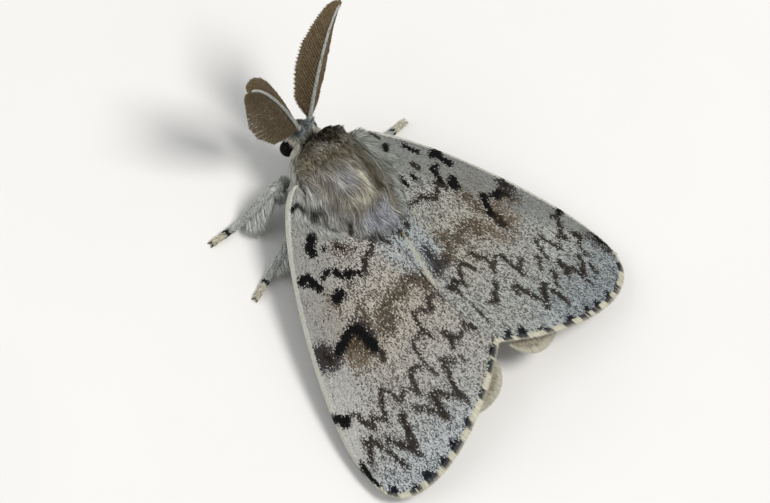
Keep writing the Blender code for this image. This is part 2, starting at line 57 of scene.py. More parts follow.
# Body forms. The head's flesh is smaller than its solid, and the eyes sit further back than theirs
THORAX_CENTRE = np.array((0.0, -4.4, 3.75))
THORAX_HALF = np.array((2.65, 3.55, 2.3))
THORAX_BLUNT = 2.3
HEAD_CENTRE = np.array((0.0, -8.85, 4.35))
HEAD_HALF = np.array((1.22, 0.95, 1.25))
HEAD_CORE = HEAD_HALF * (0.84, 0.84, 0.78)
HEAD_MIDDLE = HEAD_CENTRE + (0.0, 0.12, 0.0)
EYE_CENTRE = np.array((1.15, -8.7, 4.05))
EYE_RADIUS = 0.56
EYE_PLACE = EYE_CENTRE + (-0.01, 0.18, 0.0)
ABDOMEN_FRONT_Y = -2.5
ABDOMEN_REAR_Y = 9.3
ABDOMEN_LENGTH = ABDOMEN_REAR_Y - ABDOMEN_FRONT_Y
ABDOMEN_RINGS = 8
ABDOMEN_RADIUS = 1.36
PALP_LENGTH = 1.25
PALP_RADIUS = 0.3

# Roof and outlines of the wings
GAP = 0.3
SHEET = 0.5
RIDGE_HEIGHT = 4.66
RIDGE_FALL = 0.042
ROOF_SLOPE = 0.2
ROOF_CAMBER = 0.003
SEAM_BOW = 0.55
SEAM_REACH = 10.6
FORE_COSTA = ((2.7, -6.4), (4.8, -7.5), (13.2, 6.4), (12.75, 11.0))
FORE_MARGIN = ((12.75, 11.0), (13.48, 15.45), (6.41, 14.87), (0.08, 10.5))
FORE_VEINS = ((0.09, 0.0), (0.2, 0.0), (0.3, 0.5), (0.4, 0.55), (0.5, 0.58), (0.6, 0.58), (0.7, 0.0),
              (0.8, 0.45), (0.91, 0.0))
HIND_COSTA = ((2.85, -3.2), (5.0, -3.4), (9.8, 1.0), (9.9, 6.5))
HIND_MARGIN = ((9.9, 6.5), (10.3, 10.5), (2.4, 15.9), (0.75, 11.4))
HIND_INNER = ((2.75, -1.9), (1.9, 3.0), (2.3, 8.0), (0.75, 11.4))
HIND_VEINS = ((0.1, 0.0), (0.3, 0.45), (0.45, 0.5), (0.6, 0.5), (0.75, 0.0), (0.9, 0.0))

# Antenna: the line and radii of its shaft
SHAFT = ((0.53, -8.85, 5.85), (1.4, -10.17, 8.0), (3.27, -12.4, 11.5), (4.67, -12.74, 12.05))
SHAFT_INSIDE = np.array((0.36, -8.74, 4.9))
SHAFT_RADIUS = 0.155
SHAFT_TIP_RADIUS = 0.06

# Each row of rami: the way it opens, its sweep at the foot and tip in degrees, and its longest ramus
RAMI_ROWS = (((0.83, -0.12, -0.54), 88, 58, 2.6), ((-0.46, -0.84, -0.29), 42, 34, 2.3))
RAMI_PER_ROW = 36
RAMUS_HAIR_LENGTH = 0.31
RAMUS_HAIR_RADIUS = 0.035

# Legs: the hip's angles back and round, then trochanter, knee, ankle and toe, mirrored for the right side
LEGS = {
    "fore_left": ((50, 150), (2.0, -7.1, 1.75), (3.3, -7.3, 2.6), (5.3, -7.2, 0.85), (8.1, -7.6, 0.0)),
    "fore_right": ((50, 150), (1.9, -7.0, 1.75), (2.9, -7.1, 2.7), (3.8, -6.95, 0.85), (5.9, -4.9, 0.0)),
    "mid_left": ((88, 146), (2.4, -4.3, 1.3), (4.0, -4.5, 2.5), (6.3, -3.6, 0.95), (8.7, -3.0, 0.0)),
    "mid_right": ((88, 146), (2.4, -4.3, 1.3), (4.0, -4.7, 2.5), (6.4, -4.5, 0.95), (8.9, -4.35, 0.0)),
    "hind_left": ((120, 138), (2.3, -1.7, 1.45), (3.9, -0.2, 1.75), (5.7, 2.7, 0.85), (6.9, 5.6, 0.0)),
    "hind_right": ((120, 138), (2.3, -1.7, 1.45), (3.9, -0.2, 1.75), (5.8, 2.6, 0.85), (7.2, 5.4, 0.0)),
}
FEMUR_RADIUS = 0.34
TIBIA_RADIUS = 0.27
TARSUS_RADIUS = 0.22
TARSUS_AXLE = 0.17
CLAW_LENGTH = 0.25
TIBIA_TUFT = {"fore": 2.0, "mid": 1.45, "hind": 1.2}
FEMUR_TUFT = {"fore": 1.25, "mid": 1.1, "hind": 0.9}
TUFT_LIE = np.array((0.28, 0.78, -0.42))

# Handles of the highest and lowest hairs of a cheek's brush
CHEEK_UPPER = ((0.62, -8.15, 4.68), (1.2, -8.12, 4.80), (1.62, -7.98, 4.35), (1.66, -7.7, 3.6))
CHEEK_LOWER = ((0.6, -7.95, 4.0), (1.15, -7.85, 4.0), (1.5, -7.65, 3.55), (1.6, -7.35, 2.9))

# Numbers of hairs, with the number of locks where they are drawn to locks
BACK_HAIRS = (6300, 620)
COLLAR_HAIRS = (3600, 520)
SIDE_HAIRS = (2300, 300)
BASE_HAIRS = (2200, 330)
HEAD_HAIRS = (4600, 420)
SLEEVE_HAIRS = 700
BROW_HAIRS = 520
CHEEK_HAIRS = 560
ABDOMEN_HAIRS = 3000
TAIL_HAIRS = 950
LIMB_HAIRS = {"femur": 450, "tibia": 520, "tarsus": 820}
PALP_HAIRS = 500
SHAFT_SCALES = 1500
RAMUS_HAIRS = 150

# Numbers of hairs in a leg's tufts for each millimetre of their length
TUFT_HAIRS = {"femur": 520, "tibia": 620}

# Height and width of the veins on a wing, and of the folds beside them, the widths as shares of the wing's
VEIN_HEIGHT = 0.035
VEIN_WIDTH = 0.007
FOLD_HEIGHT = 0.03
FOLD_WIDTH = 0.03

# How wide a forewing's thick leading edge is, as a share of the wing, and what it adds to the thickness
LEAD_PLACE = 0.035
LEAD_THICK = 0.144

# Tones of the coat, as linear light
PALE = np.array((0.37, 0.365, 0.34))
CREAM = np.array((0.60, 0.57, 0.45))
BLUISH = np.array((0.33, 0.355, 0.365))
WARM = np.array((0.34, 0.305, 0.25))
FLECK = np.array((0.115, 0.100, 0.084))
HAIR = {
    "thorax": (0.235, 0.218, 0.184),
    "right flank": (0.215, 0.22, 0.185),
    "right front": (0.12, 0.12, 0.09),
    "left front": (0.10, 0.085, 0.05),
    "shade": (0.13, 0.115, 0.08),
    "gold": (0.20, 0.17, 0.105),
    "collar": (0.010, 0.008, 0.004),
    "collar fleck": (0.12, 0.095, 0.045),
    "white spot": (0.56, 0.56, 0.56),
    "crest": (0.62, 0.59, 0.47),
    "furrow": (0.07, 0.06, 0.035),
    "rear": (0.39, 0.40, 0.43),
    "crest spot": (0.05, 0.055, 0.07),
    "rear spot": (0.10, 0.10, 0.12),
    "left shoulder": (0.44, 0.44, 0.41),
    "side": (0.52, 0.51, 0.45),
    "left base": (0.40, 0.40, 0.375),
    "right base": (0.33, 0.345, 0.31),
    "face": (0.50, 0.47, 0.38),
    "crown": (0.25, 0.255, 0.225),
    "nape": (0.03, 0.026, 0.017),
    "chin": (0.20, 0.165, 0.12),
    "eye frame": (0.68, 0.66, 0.57),
    "sleeve": (0.40, 0.43, 0.44),
    "abdomen": (0.46, 0.41, 0.31),
    "abdomen back": (0.28, 0.23, 0.16),
    "tail": (0.42, 0.36, 0.25),
    "hindwing": (0.42, 0.38, 0.29),
    "palp": (0.30, 0.27, 0.22),
    "palp tip": (0.10, 0.085, 0.06),
    "leg": (0.54, 0.56, 0.52),
    "foot": (0.74, 0.70, 0.56),
    "foot band": (0.012, 0.010, 0.009),
    "claw": (0.06, 0.028, 0.012),
    "shaft": (0.27, 0.25, 0.18),
    "shaft brown": (0.10, 0.07, 0.045),
    "shaft pale": (0.42, 0.43, 0.40),
    "ramus": (0.060, 0.040, 0.022),
    "ramus hair": (0.185, 0.135, 0.075),
}
HAIR = {name: np.array(tone) for name, tone in HAIR.items()}
FRINGE_DARK = np.array((0.03, 0.03, 0.036))
EYE_TONE = np.array((0.012, 0.009, 0.007))
EYE_TONES = ((0.001, 0.001, 0.001), (0.006, 0.004, 0.003))
EYE_CELL = 0.035
FLOOR_TONES = ((0.76, 0.745, 0.72), (0.80, 0.785, 0.76))

# Soft lines on the thorax, in its plan
THORAX_SHADE = ((-1.5, -5.4), (-1.3, -3.6), (-0.9, -2.3))
THORAX_CREST = ((1.6, -3.1), (0.9, -2.6), (0.35, -2.25), (0.0, -2.9), (-0.3, -3.9))
THORAX_FURROW = ((-1.0, -4.2), (-0.9, -3.2), (-0.75, -2.4))

# Tones of the marks
MARK_TONES = {
    "black": (0.004, 0.004, 0.004),
    "dark": (0.016, 0.011, 0.007),
    "brown": (0.048, 0.032, 0.018),
    "smoke": (0.022, 0.017, 0.019),
    "tan": (0.085, 0.052, 0.024),
    "grey": (0.07, 0.07, 0.075),
    "spot": (0.008, 0.010, 0.014),
}
# How much of the ground each kind of mark covers, and how soft its edge is, in mm
MARK_COVER = {"black": (1.0, 0.08), "dark": (0.95, 0.10), "brown": (0.88, 0.5), "smoke": (0.95, 0.4),
              "tan": (0.75, 0.65), "grey": (0.6, 0.2), "spot": (1.0, 0.08)}

# Marks of the forewings: kind, width, and a line in the plan of that wing. Their points were read off the
# photo by eye in pixels, and a scratch script turned most of them into millimetres of the plan
MARKS_LEFT = (
    ("black", 0.3, ((4.1, -5.5), (3.7, -5.4), (3.7, -5.1), (3.7, -4.8))),
    ("black", 0.36, ((3.4, -4.3), (3.5, -4.0), (3.2, -4.0), (2.8, -3.7))),
    ("black", 0.72, ((4.6, -3.3), (4.9, -3.1), (5.1, -2.7))),
    ("black", 0.25, ((4.3, -2.3), (4.4, -2.2))),
    ("dark", 0.33, ((2.2, -2.0), (2.4, -1.6))),
    ("grey", 0.18, ((1.6, -1.8), (1.7, -1.7))),
    ("brown", 0.7, ((3.7, -1.8), (3.5, -1.4), (3.2, -1.1))),
    ("dark", 0.27, ((3.7, -1.75), (3.45, -1.3))),
    ("black", 0.6, ((7.0, -1.7), (6.5, -1.6), (6.5, -1.1), (6.5, -0.6))),
    ("black", 0.35, ((5.8, -1.0), (5.2, -0.9), (4.9, -0.7), (4.9, -0.1), (4.2, 0.0), (4.5, 0.2),
        (4.1, 0.3), (3.8, 0.6))),
    ("dark", 0.37, ((3.8, 0.6), (3.3, 0.7), (3.0, 0.2), (2.3, 0.1), (1.8, -0.3), (1.3, -0.3),
        (1.2, -0.0))),
    ("brown", 0.2, ((4.7, 0.4), (4.8, 0.7))),
    ("black", 0.76, ((5.8, 0.7), (5.9, 0.7))),
    ("brown", 0.5, ((6.4, 0.9), (6.4, 0.3))),
    ("dark", 0.41, ((0.2, 0.6), (0.2, 0.9))),
    ("dark", 0.22, ((1.1, 0.1), (1.0, 0.5), (0.9, 0.7))),
    ("brown", 1., ((1.1, 4.2), (1.1, 3.8), (1.4, 3.3), (2.0, 3.2), (2.8, 3.5), (3.2, 3.3), (4.1, 3.4),
        (4.7, 3.6), (4.5, 4.3), (5.2, 4.3))),
    ("brown", 0.3, ((5.3, 2.1), (5.5, 2.8), (5.7, 3.3), (5.9, 3.7), (6.0, 4.0))),
    ("black", 0.7, ((8.4, 3.3), (7.7, 3.1), (7.1, 2.9), (6.6, 3.2), (6.5, 3.8), (6.5, 4.3), (6.5, 4.8))),
    ("dark", 0.41, ((6.4, 5.3), (6.5, 5.6), (6.7, 5.8))),
    ("tan", 1.6, ((7.2, 3.8), (7.5, 4.2), (7.7, 4.6))),
    ("brown", 0.9, ((7.6, 3.5), (6.95, 3.8), (6.9, 4.5))),
    ("smoke", 0.5, ((6.2, 2.6), (6.0, 3.3), (6.0, 4.0))),
    ("smoke", 1.6, ((9.4, 2.7), (9.4, 3.0), (9.3, 3.3))),
    ("dark", 0.46, ((9.25, 2.8), (9.3, 3.25))),
    ("black", 0.66, ((11.75, 6.3), (11.3, 6.7), (11.5, 7.0))),
    ("dark", 0.33, ((10.8, 6.9), (10.5, 7.0), (10.5, 7.3), (10.5, 7.9), (10.3, 8.5), (9.9, 7.9),
        (9.6, 8.3), (9.3, 8.6), (9.3, 8.9))),
    ("dark", 0.27, ((9.3, 8.9), (9.1, 8.3), (8.8, 7.8), (8.4, 7.4), (8.2, 7.0), (8.1, 7.2), (7.9, 7.7),
        (7.8, 8.1), (7.8, 8.6))),
    ("dark", 0.27, ((7.7, 8.6), (7.5, 8.3), (7.1, 8.2), (6.7, 8.4), (6.6, 8.6), (6.5, 9.0), (6.3, 8.4),
        (6.1, 7.9), (5.8, 7.5), (5.6, 7.6), (5.1, 7.9))),
    ("dark", 0.27, ((4.8, 8.8), (4.9, 8.2), (4.8, 7.7), (4.7, 7.2), (4.7, 6.9), (4.5, 6.5), (4.2, 6.2),
        (3.7, 6.4), (3.5, 6.6))),
    ("dark", 0.33, ((3.3, 7.0), (3.3, 6.7), (3.4, 6.2), (3.3, 5.7), (3.2, 5.2), (3.0, 5.0), (2.6, 5.2),
        (2.3, 5.6), (2.0, 5.7), (1.8, 5.4), (1.8, 5.0), (1.3, 5.1), (0.9, 5.3), (0.8, 5.7))),
    ("black", 0.28, ((12.5, 9.5), (12.7, 10.5), (12.7, 11.1), (12.7, 11.5))),
    ("dark", 0.33, ((11.3, 8.7), (11.0, 8.9), (10.9, 9.2), (10.8, 9.6), (10.7, 10.2), (10.6, 10.5),
        (10.6, 11.2), (10.5, 11.8))),
    ("dark", 0.37, ((11.0, 8.9), (11.3, 9.2), (11.5, 9.4), (11.9, 9.9))),
    ("grey", 0.5, ((11.9, 9.9), (12.1, 10.3), (12.4, 10.4))),
    ("dark", 0.41, ((10.1, 9.7), (10.0, 10.1), (9.8, 10.6), (9.5, 11.0), (9.4, 11.4), (9.3, 12.0))),
    ("dark", 0.5, ((8.4, 9.3), (8.6, 9.6), (8.7, 10.1), (8.9, 10.5), (9.1, 10.9), (9.2, 11.3))),
    ("dark", 0.41, ((7.4, 9.5), (7.0, 10.0), (6.7, 10.5), (6.5, 10.8), (6.4, 11.2), (6.3, 11.6))),
    ("dark", 0.5, ((6.0, 10.1), (6.1, 10.6), (6.2, 11.0), (6.3, 11.5))),
    ("dark", 0.41, ((6.0, 9.6), (5.6, 9.9), (5.3, 10.4), (4.9, 10.7), (4.6, 11.1))),
    ("dark", 0.33, ((4.1, 8.9), (4.0, 9.2), (4.2, 9.6), (4.4, 10.0), (4.6, 10.5), (4.6, 11.1),
        (4.5, 11.7))),
    ("dark", 0.41, ((3.9, 8.5), (3.7, 8.8), (3.3, 9.2))),
    ("dark", 0.22, ((2.8, 9.1), (2.8, 9.7))),
    ("dark", 0.37, ((2.7, 8.4), (2.4, 8.0), (2.5, 7.4), (2.3, 7.9), (2.1, 8.2), (1.8, 8.3), (1.4, 8.1),
        (1.1, 8.3))),
    ("dark", 0.37, ((1.1, 7.8), (0.8, 8.2), (0.7, 8.6))),
    ("dark", 0.3, ((0.62, 3.3), (0.64, 4.5))),
    ("spot", 0.56, ((0.95, 10.49), (0.77, 11.05))),
    ("spot", 0.69, ((1.65, 11.19), (1.77, 11.45))),
    ("spot", 0.63, ((3.25, 12.09), (3.57, 12.25))),
    ("spot", 0.63, ((5.48, 12.70), (5.63, 12.97))),
    ("spot", 0.75, ((7.18, 13.10), (7.13, 13.67))),
    ("spot", 0.56, ((8.50, 13.30), (8.50, 13.88))),
    ("spot", 0.69, ((9.90, 13.20), (9.80, 13.98))),
    ("spot", 0.69, ((11.10, 13.40), (11.20, 13.98))),
    ("spot", 0.56, ((12.17, 12.27), (12.50, 12.80))),
)
MARKS_RIGHT = (
    ("black", 0.22, ((4.3, -5.4), (4.3, -5.2), (4.5, -4.7))),
    ("black", 0.45, ((4.4, -4.1), (4.3, -3.9))),
    ("black", 0.4, ((5.6, -3.3), (5.8, -2.8), (6.1, -2.4))),
    ("black", 0.35, ((3.5, -1.9), (3.3, -1.7), (3.4, -1.4))),
    ("black", 0.35, ((4.3, -1.6), (4.3, -1.2))),
    ("grey", 0.5, ((4.4, -0.9), (4.3, -0.7))),
    ("dark", 0.33, ((5.0, -2.1), (5.2, -1.6))),
    ("black", 0.55, ((6.8, -1.6), (7.3, -1.6), (7.3, -1.2), (7.3, -0.7), (7.4, -0.4))),
    ("black", 0.42, ((6.6, -0.8), (6.0, -0.9), (5.9, -0.2), (5.8, 0.1))),
    ("dark", 0.4, ((5.8, 0.1), (5.2, -0.1), (5.7, 0.4), (5.7, 0.7))),
    ("dark", 0.33, ((5.2, 0.1), (4.7, 0.6), (3.9, 0.2), (3.6, -0.2), (3.0, -0.2), (2.2, -0.3))),
    ("dark", 0.22, ((4.1, 0.2), (4.5, 0.9))),
    ("black", 0.8, ((6.6, 0.7), (6.5, 0.8))),
    ("dark", 0.5, ((1.0, 0.5), (1.0, 0.7))),
    ("dark", 0.22, ((0.4, 0.8), (0.4, 1.1))),
    ("dark", 0.41, ((0.1, 0.5), (0.2, 0.9))),
    ("grey", 0.2, ((2.4, 1.1), (2.6, 1.3))),
    ("grey", 0.2, ((2.9, 1.5), (2.9, 1.7))),
    ("brown", 0.9, ((2.4, 2.8), (2.4, 3.3), (2.1, 3.7), (1.6, 4.1))),
    ("brown", 0.8, ((3.0, 3.4), (3.3, 3.8), (3.8, 3.6), (4.5, 3.3), (5.4, 3.7), (5.0, 4.2))),
    ("smoke", 0.8, ((0.7, 2.7), (0.5, 3.3), (0.7, 3.8), (1.2, 4.0), (0.2, 4.0), (0.1, 4.3))),
    ("brown", 0.7, ((6.4, 1.8), (6.6, 2.5), (6.5, 3.2))),
    ("tan", 0.7, ((5.7, 4.1), (6.2, 4.7), (6.3, 5.5))),
    ("black", 0.66, ((7.65, 2.85), (7.33, 3.32), (7.05, 3.85))),
    ("dark", 0.68, ((7.1, 3.9), (7.1, 4.4), (7.2, 4.9))),
    ("brown", 0.4, ((7.2, 4.9), (7.2, 5.4), (7.3, 5.9))),
    ("black", 0.66, ((8.5, 3.3), (8.75, 3.45))),
    ("dark", 0.27, ((9.1, 3.4), (9.3, 4.1))),
    ("tan", 1.2, ((8.0, 3.9), (7.8, 4.4), (8.0, 5.2))),
    ("smoke", 1.4, ((9.95, 3.0), (9.75, 3.4))),
    ("dark", 0.39, ((9.9, 2.9), (9.8, 3.2))),
    ("brown", 0.7, ((9.3, 4.1), (9.6, 4.5))),
    ("black", 0.66, ((12.15, 6.9), (11.7, 7.15))),
    ("dark", 0.41, ((10.9, 7.1), (11.1, 7.3), (10.9, 7.7), (10.6, 8.0))),
    ("dark", 0.27, ((10.6, 8.0), (10.4, 8.4), (10.4, 8.8), (10.1, 8.2), (9.8, 8.5), (9.4, 9.0))),
    ("dark", 0.27, ((9.4, 9.0), (9.2, 8.4), (9.0, 7.9), (8.8, 7.5), (8.3, 7.4), (8.1, 7.9), (8.0, 8.5),
        (7.9, 8.9))),
    ("dark", 0.27, ((7.4, 8.1), (7.4, 8.5), (6.9, 8.9))),
    ("dark", 0.33, ((6.2, 7.6), (5.8, 7.7), (5.5, 8.0), (5.3, 8.4))),
    ("dark", 0.27, ((5.3, 7.8), (5.2, 7.5), (5.2, 6.9), (5.1, 6.4), (4.7, 6.2), (4.3, 6.5), (3.9, 6.7))),
    ("dark", 0.27, ((3.7, 7.0), (3.8, 6.6), (4.0, 6.1), (3.9, 5.7), (3.5, 5.3), (3.4, 5.0))),
    ("brown", 0.5, ((3.4, 5.2), (3.5, 5.4))),
    ("dark", 0.37, ((2.6, 5.9), (2.5, 5.5), (2.3, 5.2), (2.1, 4.9), (1.6, 5.1), (1.4, 5.4), (1.1, 5.8),
        (1.0, 6.2))),
    ("dark", 0.5, ((0.7, 5.6), (0.6, 5.4), (0.0, 5.6), (0.2, 5.9))),
    ("dark", 0.22, ((0.2, 5.9), (0.3, 6.4))),
    ("dark", 0.41, ((3.0, 7.5), (2.8, 7.8), (2.3, 8.0), (2.1, 8.4), (1.4, 8.0))),
    ("dark", 0.37, ((4.3, 8.5), (4.3, 8.9), (4.5, 9.3), (4.6, 9.7))),
    ("dark", 0.22, ((0.3, 7.4), (0.3, 7.9), (0.3, 8.4), (0.4, 8.9))),
    ("dark", 0.33, ((11.2, 8.8), (11.4, 9.1), (11.4, 9.4), (11.0, 9.5), (10.8, 10.0), (10.7, 10.4))),
    ("dark", 0.37, ((10.1, 10.2), (10.0, 10.7), (9.6, 10.9), (9.4, 11.3))),
    ("dark", 0.22, ((10.4, 11.0), (10.3, 11.5), (10.4, 11.9))),
    ("dark", 0.22, ((9.0, 10.4), (9.1, 11.0), (9.1, 11.5), (9.3, 12.0))),
    ("dark", 0.55, ((8.5, 9.6), (8.5, 10.1), (8.6, 10.3), (8.3, 10.4))),
    ("dark", 0.37, ((7.5, 9.6), (7.3, 10.0), (7.0, 10.3), (6.9, 10.7))),
    ("dark", 0.37, ((6.2, 10.5), (6.5, 11.0), (6.5, 11.5), (6.5, 11.9))),
    ("dark", 0.55, ((6.1, 9.8), (5.6, 10.4), (5.0, 10.9))),
    ("dark", 0.37, ((4.4, 9.2), (4.6, 9.7), (5.0, 10.5))),
    ("dark", 0.33, ((4.0, 8.6), (3.8, 9.0))),
    ("black", 0.22, ((12.5, 9.9), (12.55, 10.4), (12.7, 11.0))),
    ("smoke", 0.55, ((12.2, 9.8), (12.3, 10.5), (12.55, 11.3))),
    ("grey", 0.2, ((11.9, 10.1), (11.7, 10.7))),
    ("spot", 0.56, ((0.85, 10.39), (0.57, 11.05))),
    ("spot", 0.75, ((1.85, 10.99), (1.67, 11.55))),
    ("spot", 0.56, ((3.05, 11.89), (3.77, 12.45))),
    ("spot", 0.63, ((5.68, 12.70), (5.43, 13.17))),
    ("spot", 0.56, ((7.38, 13.00), (6.93, 13.67))),
    ("spot", 0.56, ((8.40, 13.30), (8.10, 14.08))),
    ("spot", 0.56, ((9.60, 13.40), (9.50, 14.18))),
    ("spot", 0.56, ((10.90, 13.40), (10.70, 14.08))),
    ("spot", 0.56, ((12.27, 12.57), (12.30, 13.00))),
)


def bezier(handles, share):
    """Points of a four-handle curve at these shares."""
    a, b, c, d = [np.array(handle, float) for handle in handles]
    s = np.asarray(share, float)[..., None]
    return a * (1 - s) ** 3 + 3 * b * s * (1 - s) ** 2 + 3 * c * s * s * (1 - s) + d * s**3


def through(knots, share):
    """Points of a smooth curve through knots at these shares of their count."""
    knots = np.array(knots, float)
    spot = np.asarray(share, float) * (len(knots) - 1)
    low = np.clip(np.floor(spot).astype(int), 0, len(knots) - 2)
    t = (spot - low)[..., None]
    before, a = knots[np.maximum(low - 1, 0)], knots[low]
    b, after = knots[low + 1], knots[np.minimum(low + 2, len(knots) - 1)]
    bend = 2 * before - 5 * a + 4 * b - after
    twist = 3 * a - before - 3 * b + after
    return 0.5 * (2 * a + (b - before) * t + bend * t**2 + twist * t**3)


def unit(vectors):
    """Vectors of length one."""
    return vectors / np.maximum(np.linalg.norm(vectors, axis=-1, keepdims=True), 1e-9)


def smooth(low, high, value):
    """A soft step from 0 at low to 1 at high."""
    share = np.clip((np.asarray(value, float) - low) / (high - low), 0, 1)
    return share * share * (3 - 2 * share)


def mix(first, second, share):
    """A blend of two tones, each one for all points or one per point, with a share for each point."""
    share = np.asarray(share, float)[..., None]
    return np.asarray(first) * (1 - share) + np.asarray(second) * share


def noise(points, size, seed):
    """Smooth random values from 0 to 1, with bumps of that size in each direction."""
    spots = points / np.asarray(size, float)
    low = np.floor(spots).astype(np.int64)
    part = spots - low
    part = part * part * (3 - 2 * part)
    primes = np.array((73856093, 19349663, 83492791))[: points.shape[-1]]
    total = np.zeros(points.shape[:-1])
    for corner in np.ndindex(*(2,) * points.shape[-1]):
        mixed = ((low + corner) * primes).sum(-1) + seed * 7919
        mixed = (mixed ^ (mixed >> 13)) * 1274126177 & 0x7FFFFFFF
        mixed = (mixed ^ (mixed >> 16)) * 668265263 & 0x7FFFFFFF
        weight = np.where(np.array(corner) == 1, part, 1 - part).prod(-1)
        total += mixed / 0x7FFFFFFF * weight
    return total


def eye_shift():
    """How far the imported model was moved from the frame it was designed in."""
    low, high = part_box("eye_left")
    return (np.array(low) + np.array(high)) / 2 / MM - EYE_CENTRE


SHIFT = eye_shift()


def placed(name, data):
    """A new object of the scene that shows this data."""
    obj = bpy.data.objects.new(name, data)
    bpy.context.scene.collection.objects.link(obj)
    return obj


def make_piece(name, points, faces, tones, places, material, slot, smoothed=True):
    """A mesh piece whose faces have one number of sides, with a tone at each point and its OFBake map."""
    count, sides = faces.shape
    mesh = bpy.data.meshes.new(name)
    mesh.vertices.add(len(points))
    mesh.vertices.foreach_set("co", ((points + SHIFT) * MM).astype(np.float32).ravel())
    mesh.loops.add(count * sides)
    mesh.loops.foreach_set("vertex_index", faces.astype(np.int32).ravel())
    mesh.polygons.add(count)
    mesh.polygons.foreach_set("loop_start", np.arange(0, count * sides, sides, dtype=np.int32))
    mesh.polygons.foreach_set("use_smooth", np.full(count, smoothed))
    mesh.update(calc_edges=True)
    tint = mesh.attributes.new("Tint", "FLOAT_COLOR", "POINT")
    rgba = np.ones((len(points), 4), np.float32)
    rgba[:, :3] = np.clip(tones, 0, 1)
    tint.data.foreach_set("color", rgba.ravel())
    layer = mesh.uv_layers.new(name="OFBake")
    at_loops = places if len(places) == count * sides else places[faces.ravel()]
    layer.data.foreach_set("uv", np.clip(at_loops, 0, 1).astype(np.float32).ravel())
    mesh.materials.append(material)
    obj = placed(name, mesh)
    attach(obj, "root")
    return obj


def feed(tree, node, **inputs):
    """Sets these sockets of a node to values, or links them where a value is another node's socket."""
    for key, value in inputs.items():
        numbered = key[0] == "i" and key[1:].isdigit()
        socket = node.inputs[int(key[1:]) if numbered else key.replace("_", " ")]
        if isinstance(value, bpy.types.NodeSocket):
            tree.links.new(value, socket)
        else:
            socket.default_value = value
    return node


def wire(tree, kind, **inputs):
    """A new shader node with these sockets fed."""
    return feed(tree, tree.nodes.new(kind), **inputs)


def new_material(name):
    """A material with nodes, its tree and its shader."""
    made = bpy.data.materials.new(name)
    made.use_nodes = True
    return made, made.node_tree, made.node_tree.nodes["Principled BSDF"]


def tone_between(tree, share, first, second):
    """A socket with a tone that goes from first to second as share goes from 0 to 1."""
    tone = wire(tree, "ShaderNodeMix", i0=share)
    tone.data_type = "RGBA"
    tone.inputs[6].default_value = (*first, 1)
    tone.inputs[7].default_value = (*second, 1)
    return tone.outputs[2]


def coat_material(name, rough, grain, sheen=0.0, bump=0.2, strength=0.35, stretch=(1.0, 1.0, 1.0)):
    """A material that takes its tone from the mesh, with fine grain in tone, gloss and height."""
    made, tree, shader = new_material(name)
    tint = wire(tree, "ShaderNodeAttribute")
    tint.attribute_name = "Tint"
    where = wire(tree, "ShaderNodeTexCoord")
    sized = wire(tree, "ShaderNodeMapping", Vector=where.outputs["Object"], Scale=stretch)
    spots = wire(tree, "ShaderNodeTexNoise", Vector=sized.outputs[0], Scale=1 / (grain * MM), Detail=3.0,
                 Roughness=0.6)
    fine = spots.outputs["Fac"]
    shade = wire(tree, "ShaderNodeMapRange", Value=fine, To_Min=1 - strength, To_Max=1 + strength)
    toned = wire(tree, "ShaderNodeVectorMath", i0=tint.outputs["Color"], i1=shade.outputs[0])
    toned.operation = "MULTIPLY"
    gloss = wire(tree, "ShaderNodeMapRange", Value=fine, To_Min=rough - 0.1, To_Max=rough + 0.1)
    height = wire(tree, "ShaderNodeBump", Strength=bump, Distance=0.03 * MM, Height=fine)
    feed(tree, shader, Base_Color=toned.outputs[0], Roughness=gloss.outputs[0], Normal=height.outputs[0],
         Sheen_Weight=sheen, Sheen_Roughness=0.4, Specular_IOR_Level=0.06)
    return made


def eye_material():
    """Glossy black of a compound eye, with a brown depth and a fine honeycomb."""
    made, tree, shader = new_material("eye_black")
    where = wire(tree, "ShaderNodeTexCoord")
    cells = wire(tree, "ShaderNodeTexVoronoi", Vector=where.outputs["Object"], Scale=1 / (EYE_CELL * MM))
    cloud = wire(tree, "ShaderNodeTexNoise", Vector=where.outputs["Object"], Scale=1 / (0.5 * MM), Detail=2.0)
    tone = tone_between(tree, cloud.outputs["Fac"], *EYE_TONES)
    edges = cells.outputs["Distance"]
    height = wire(tree, "ShaderNodeBump", Strength=0.25, Distance=0.008 * MM, Height=edges)
    rough = wire(tree, "ShaderNodeMapRange", Value=edges, To_Min=0.08, To_Max=0.16)
    feed(tree, shader, Base_Color=tone, Roughness=rough.outputs[0], Normal=height.outputs[0],
         Specular_IOR_Level=0.045)
    return made


def spikes(paths, radii, over, flat=0.7, sides=3):
    """Closed tapered spikes: points, triangles, and for each point its share along and its step across."""
    count, steps, _ = paths.shape
    along = unit(np.gradient(paths, axis=1))
    across = unit(np.cross(along, over[:, None, :]))
    lift = np.cross(across, along)
    turns = math.pi / 2 + np.arange(sides) * 2 * math.pi / sides
    rings = []
    for turn in turns:
        arm = across * math.cos(turn) + lift * math.sin(turn) * flat
        rings.append((paths + arm * radii[..., None])[:, :-1])
    ring_points = np.stack(rings, axis=2).reshape(count, (steps - 1) * sides, 3)
    points = np.concatenate([ring_points, paths[:, -1:]], axis=1)
    shape = [[0, i + 1, i] for i in range(1, sides - 1)]
    for step in range(steps - 2):
        for i in range(sides):
            a, b = step * sides + i, step * sides + (i + 1) % sides
            shape += [[a, b, b + sides], [a, b + sides, a + sides]]
    last = (steps - 2) * sides
    shape += [[last + i, last + (i + 1) % sides, last + sides] for i in range(sides)]
    per = points.shape[1]
    faces = (np.array(shape)[None] + np.arange(count)[:, None, None] * per).reshape(-1, 3)
    share = np.append(np.repeat(np.arange(steps - 1), sides), steps - 1) / (steps - 1)
    step_across = np.append(np.tile(np.cos(turns), steps - 1), 0.0)
    return points.reshape(-1, 3), faces, share, step_across


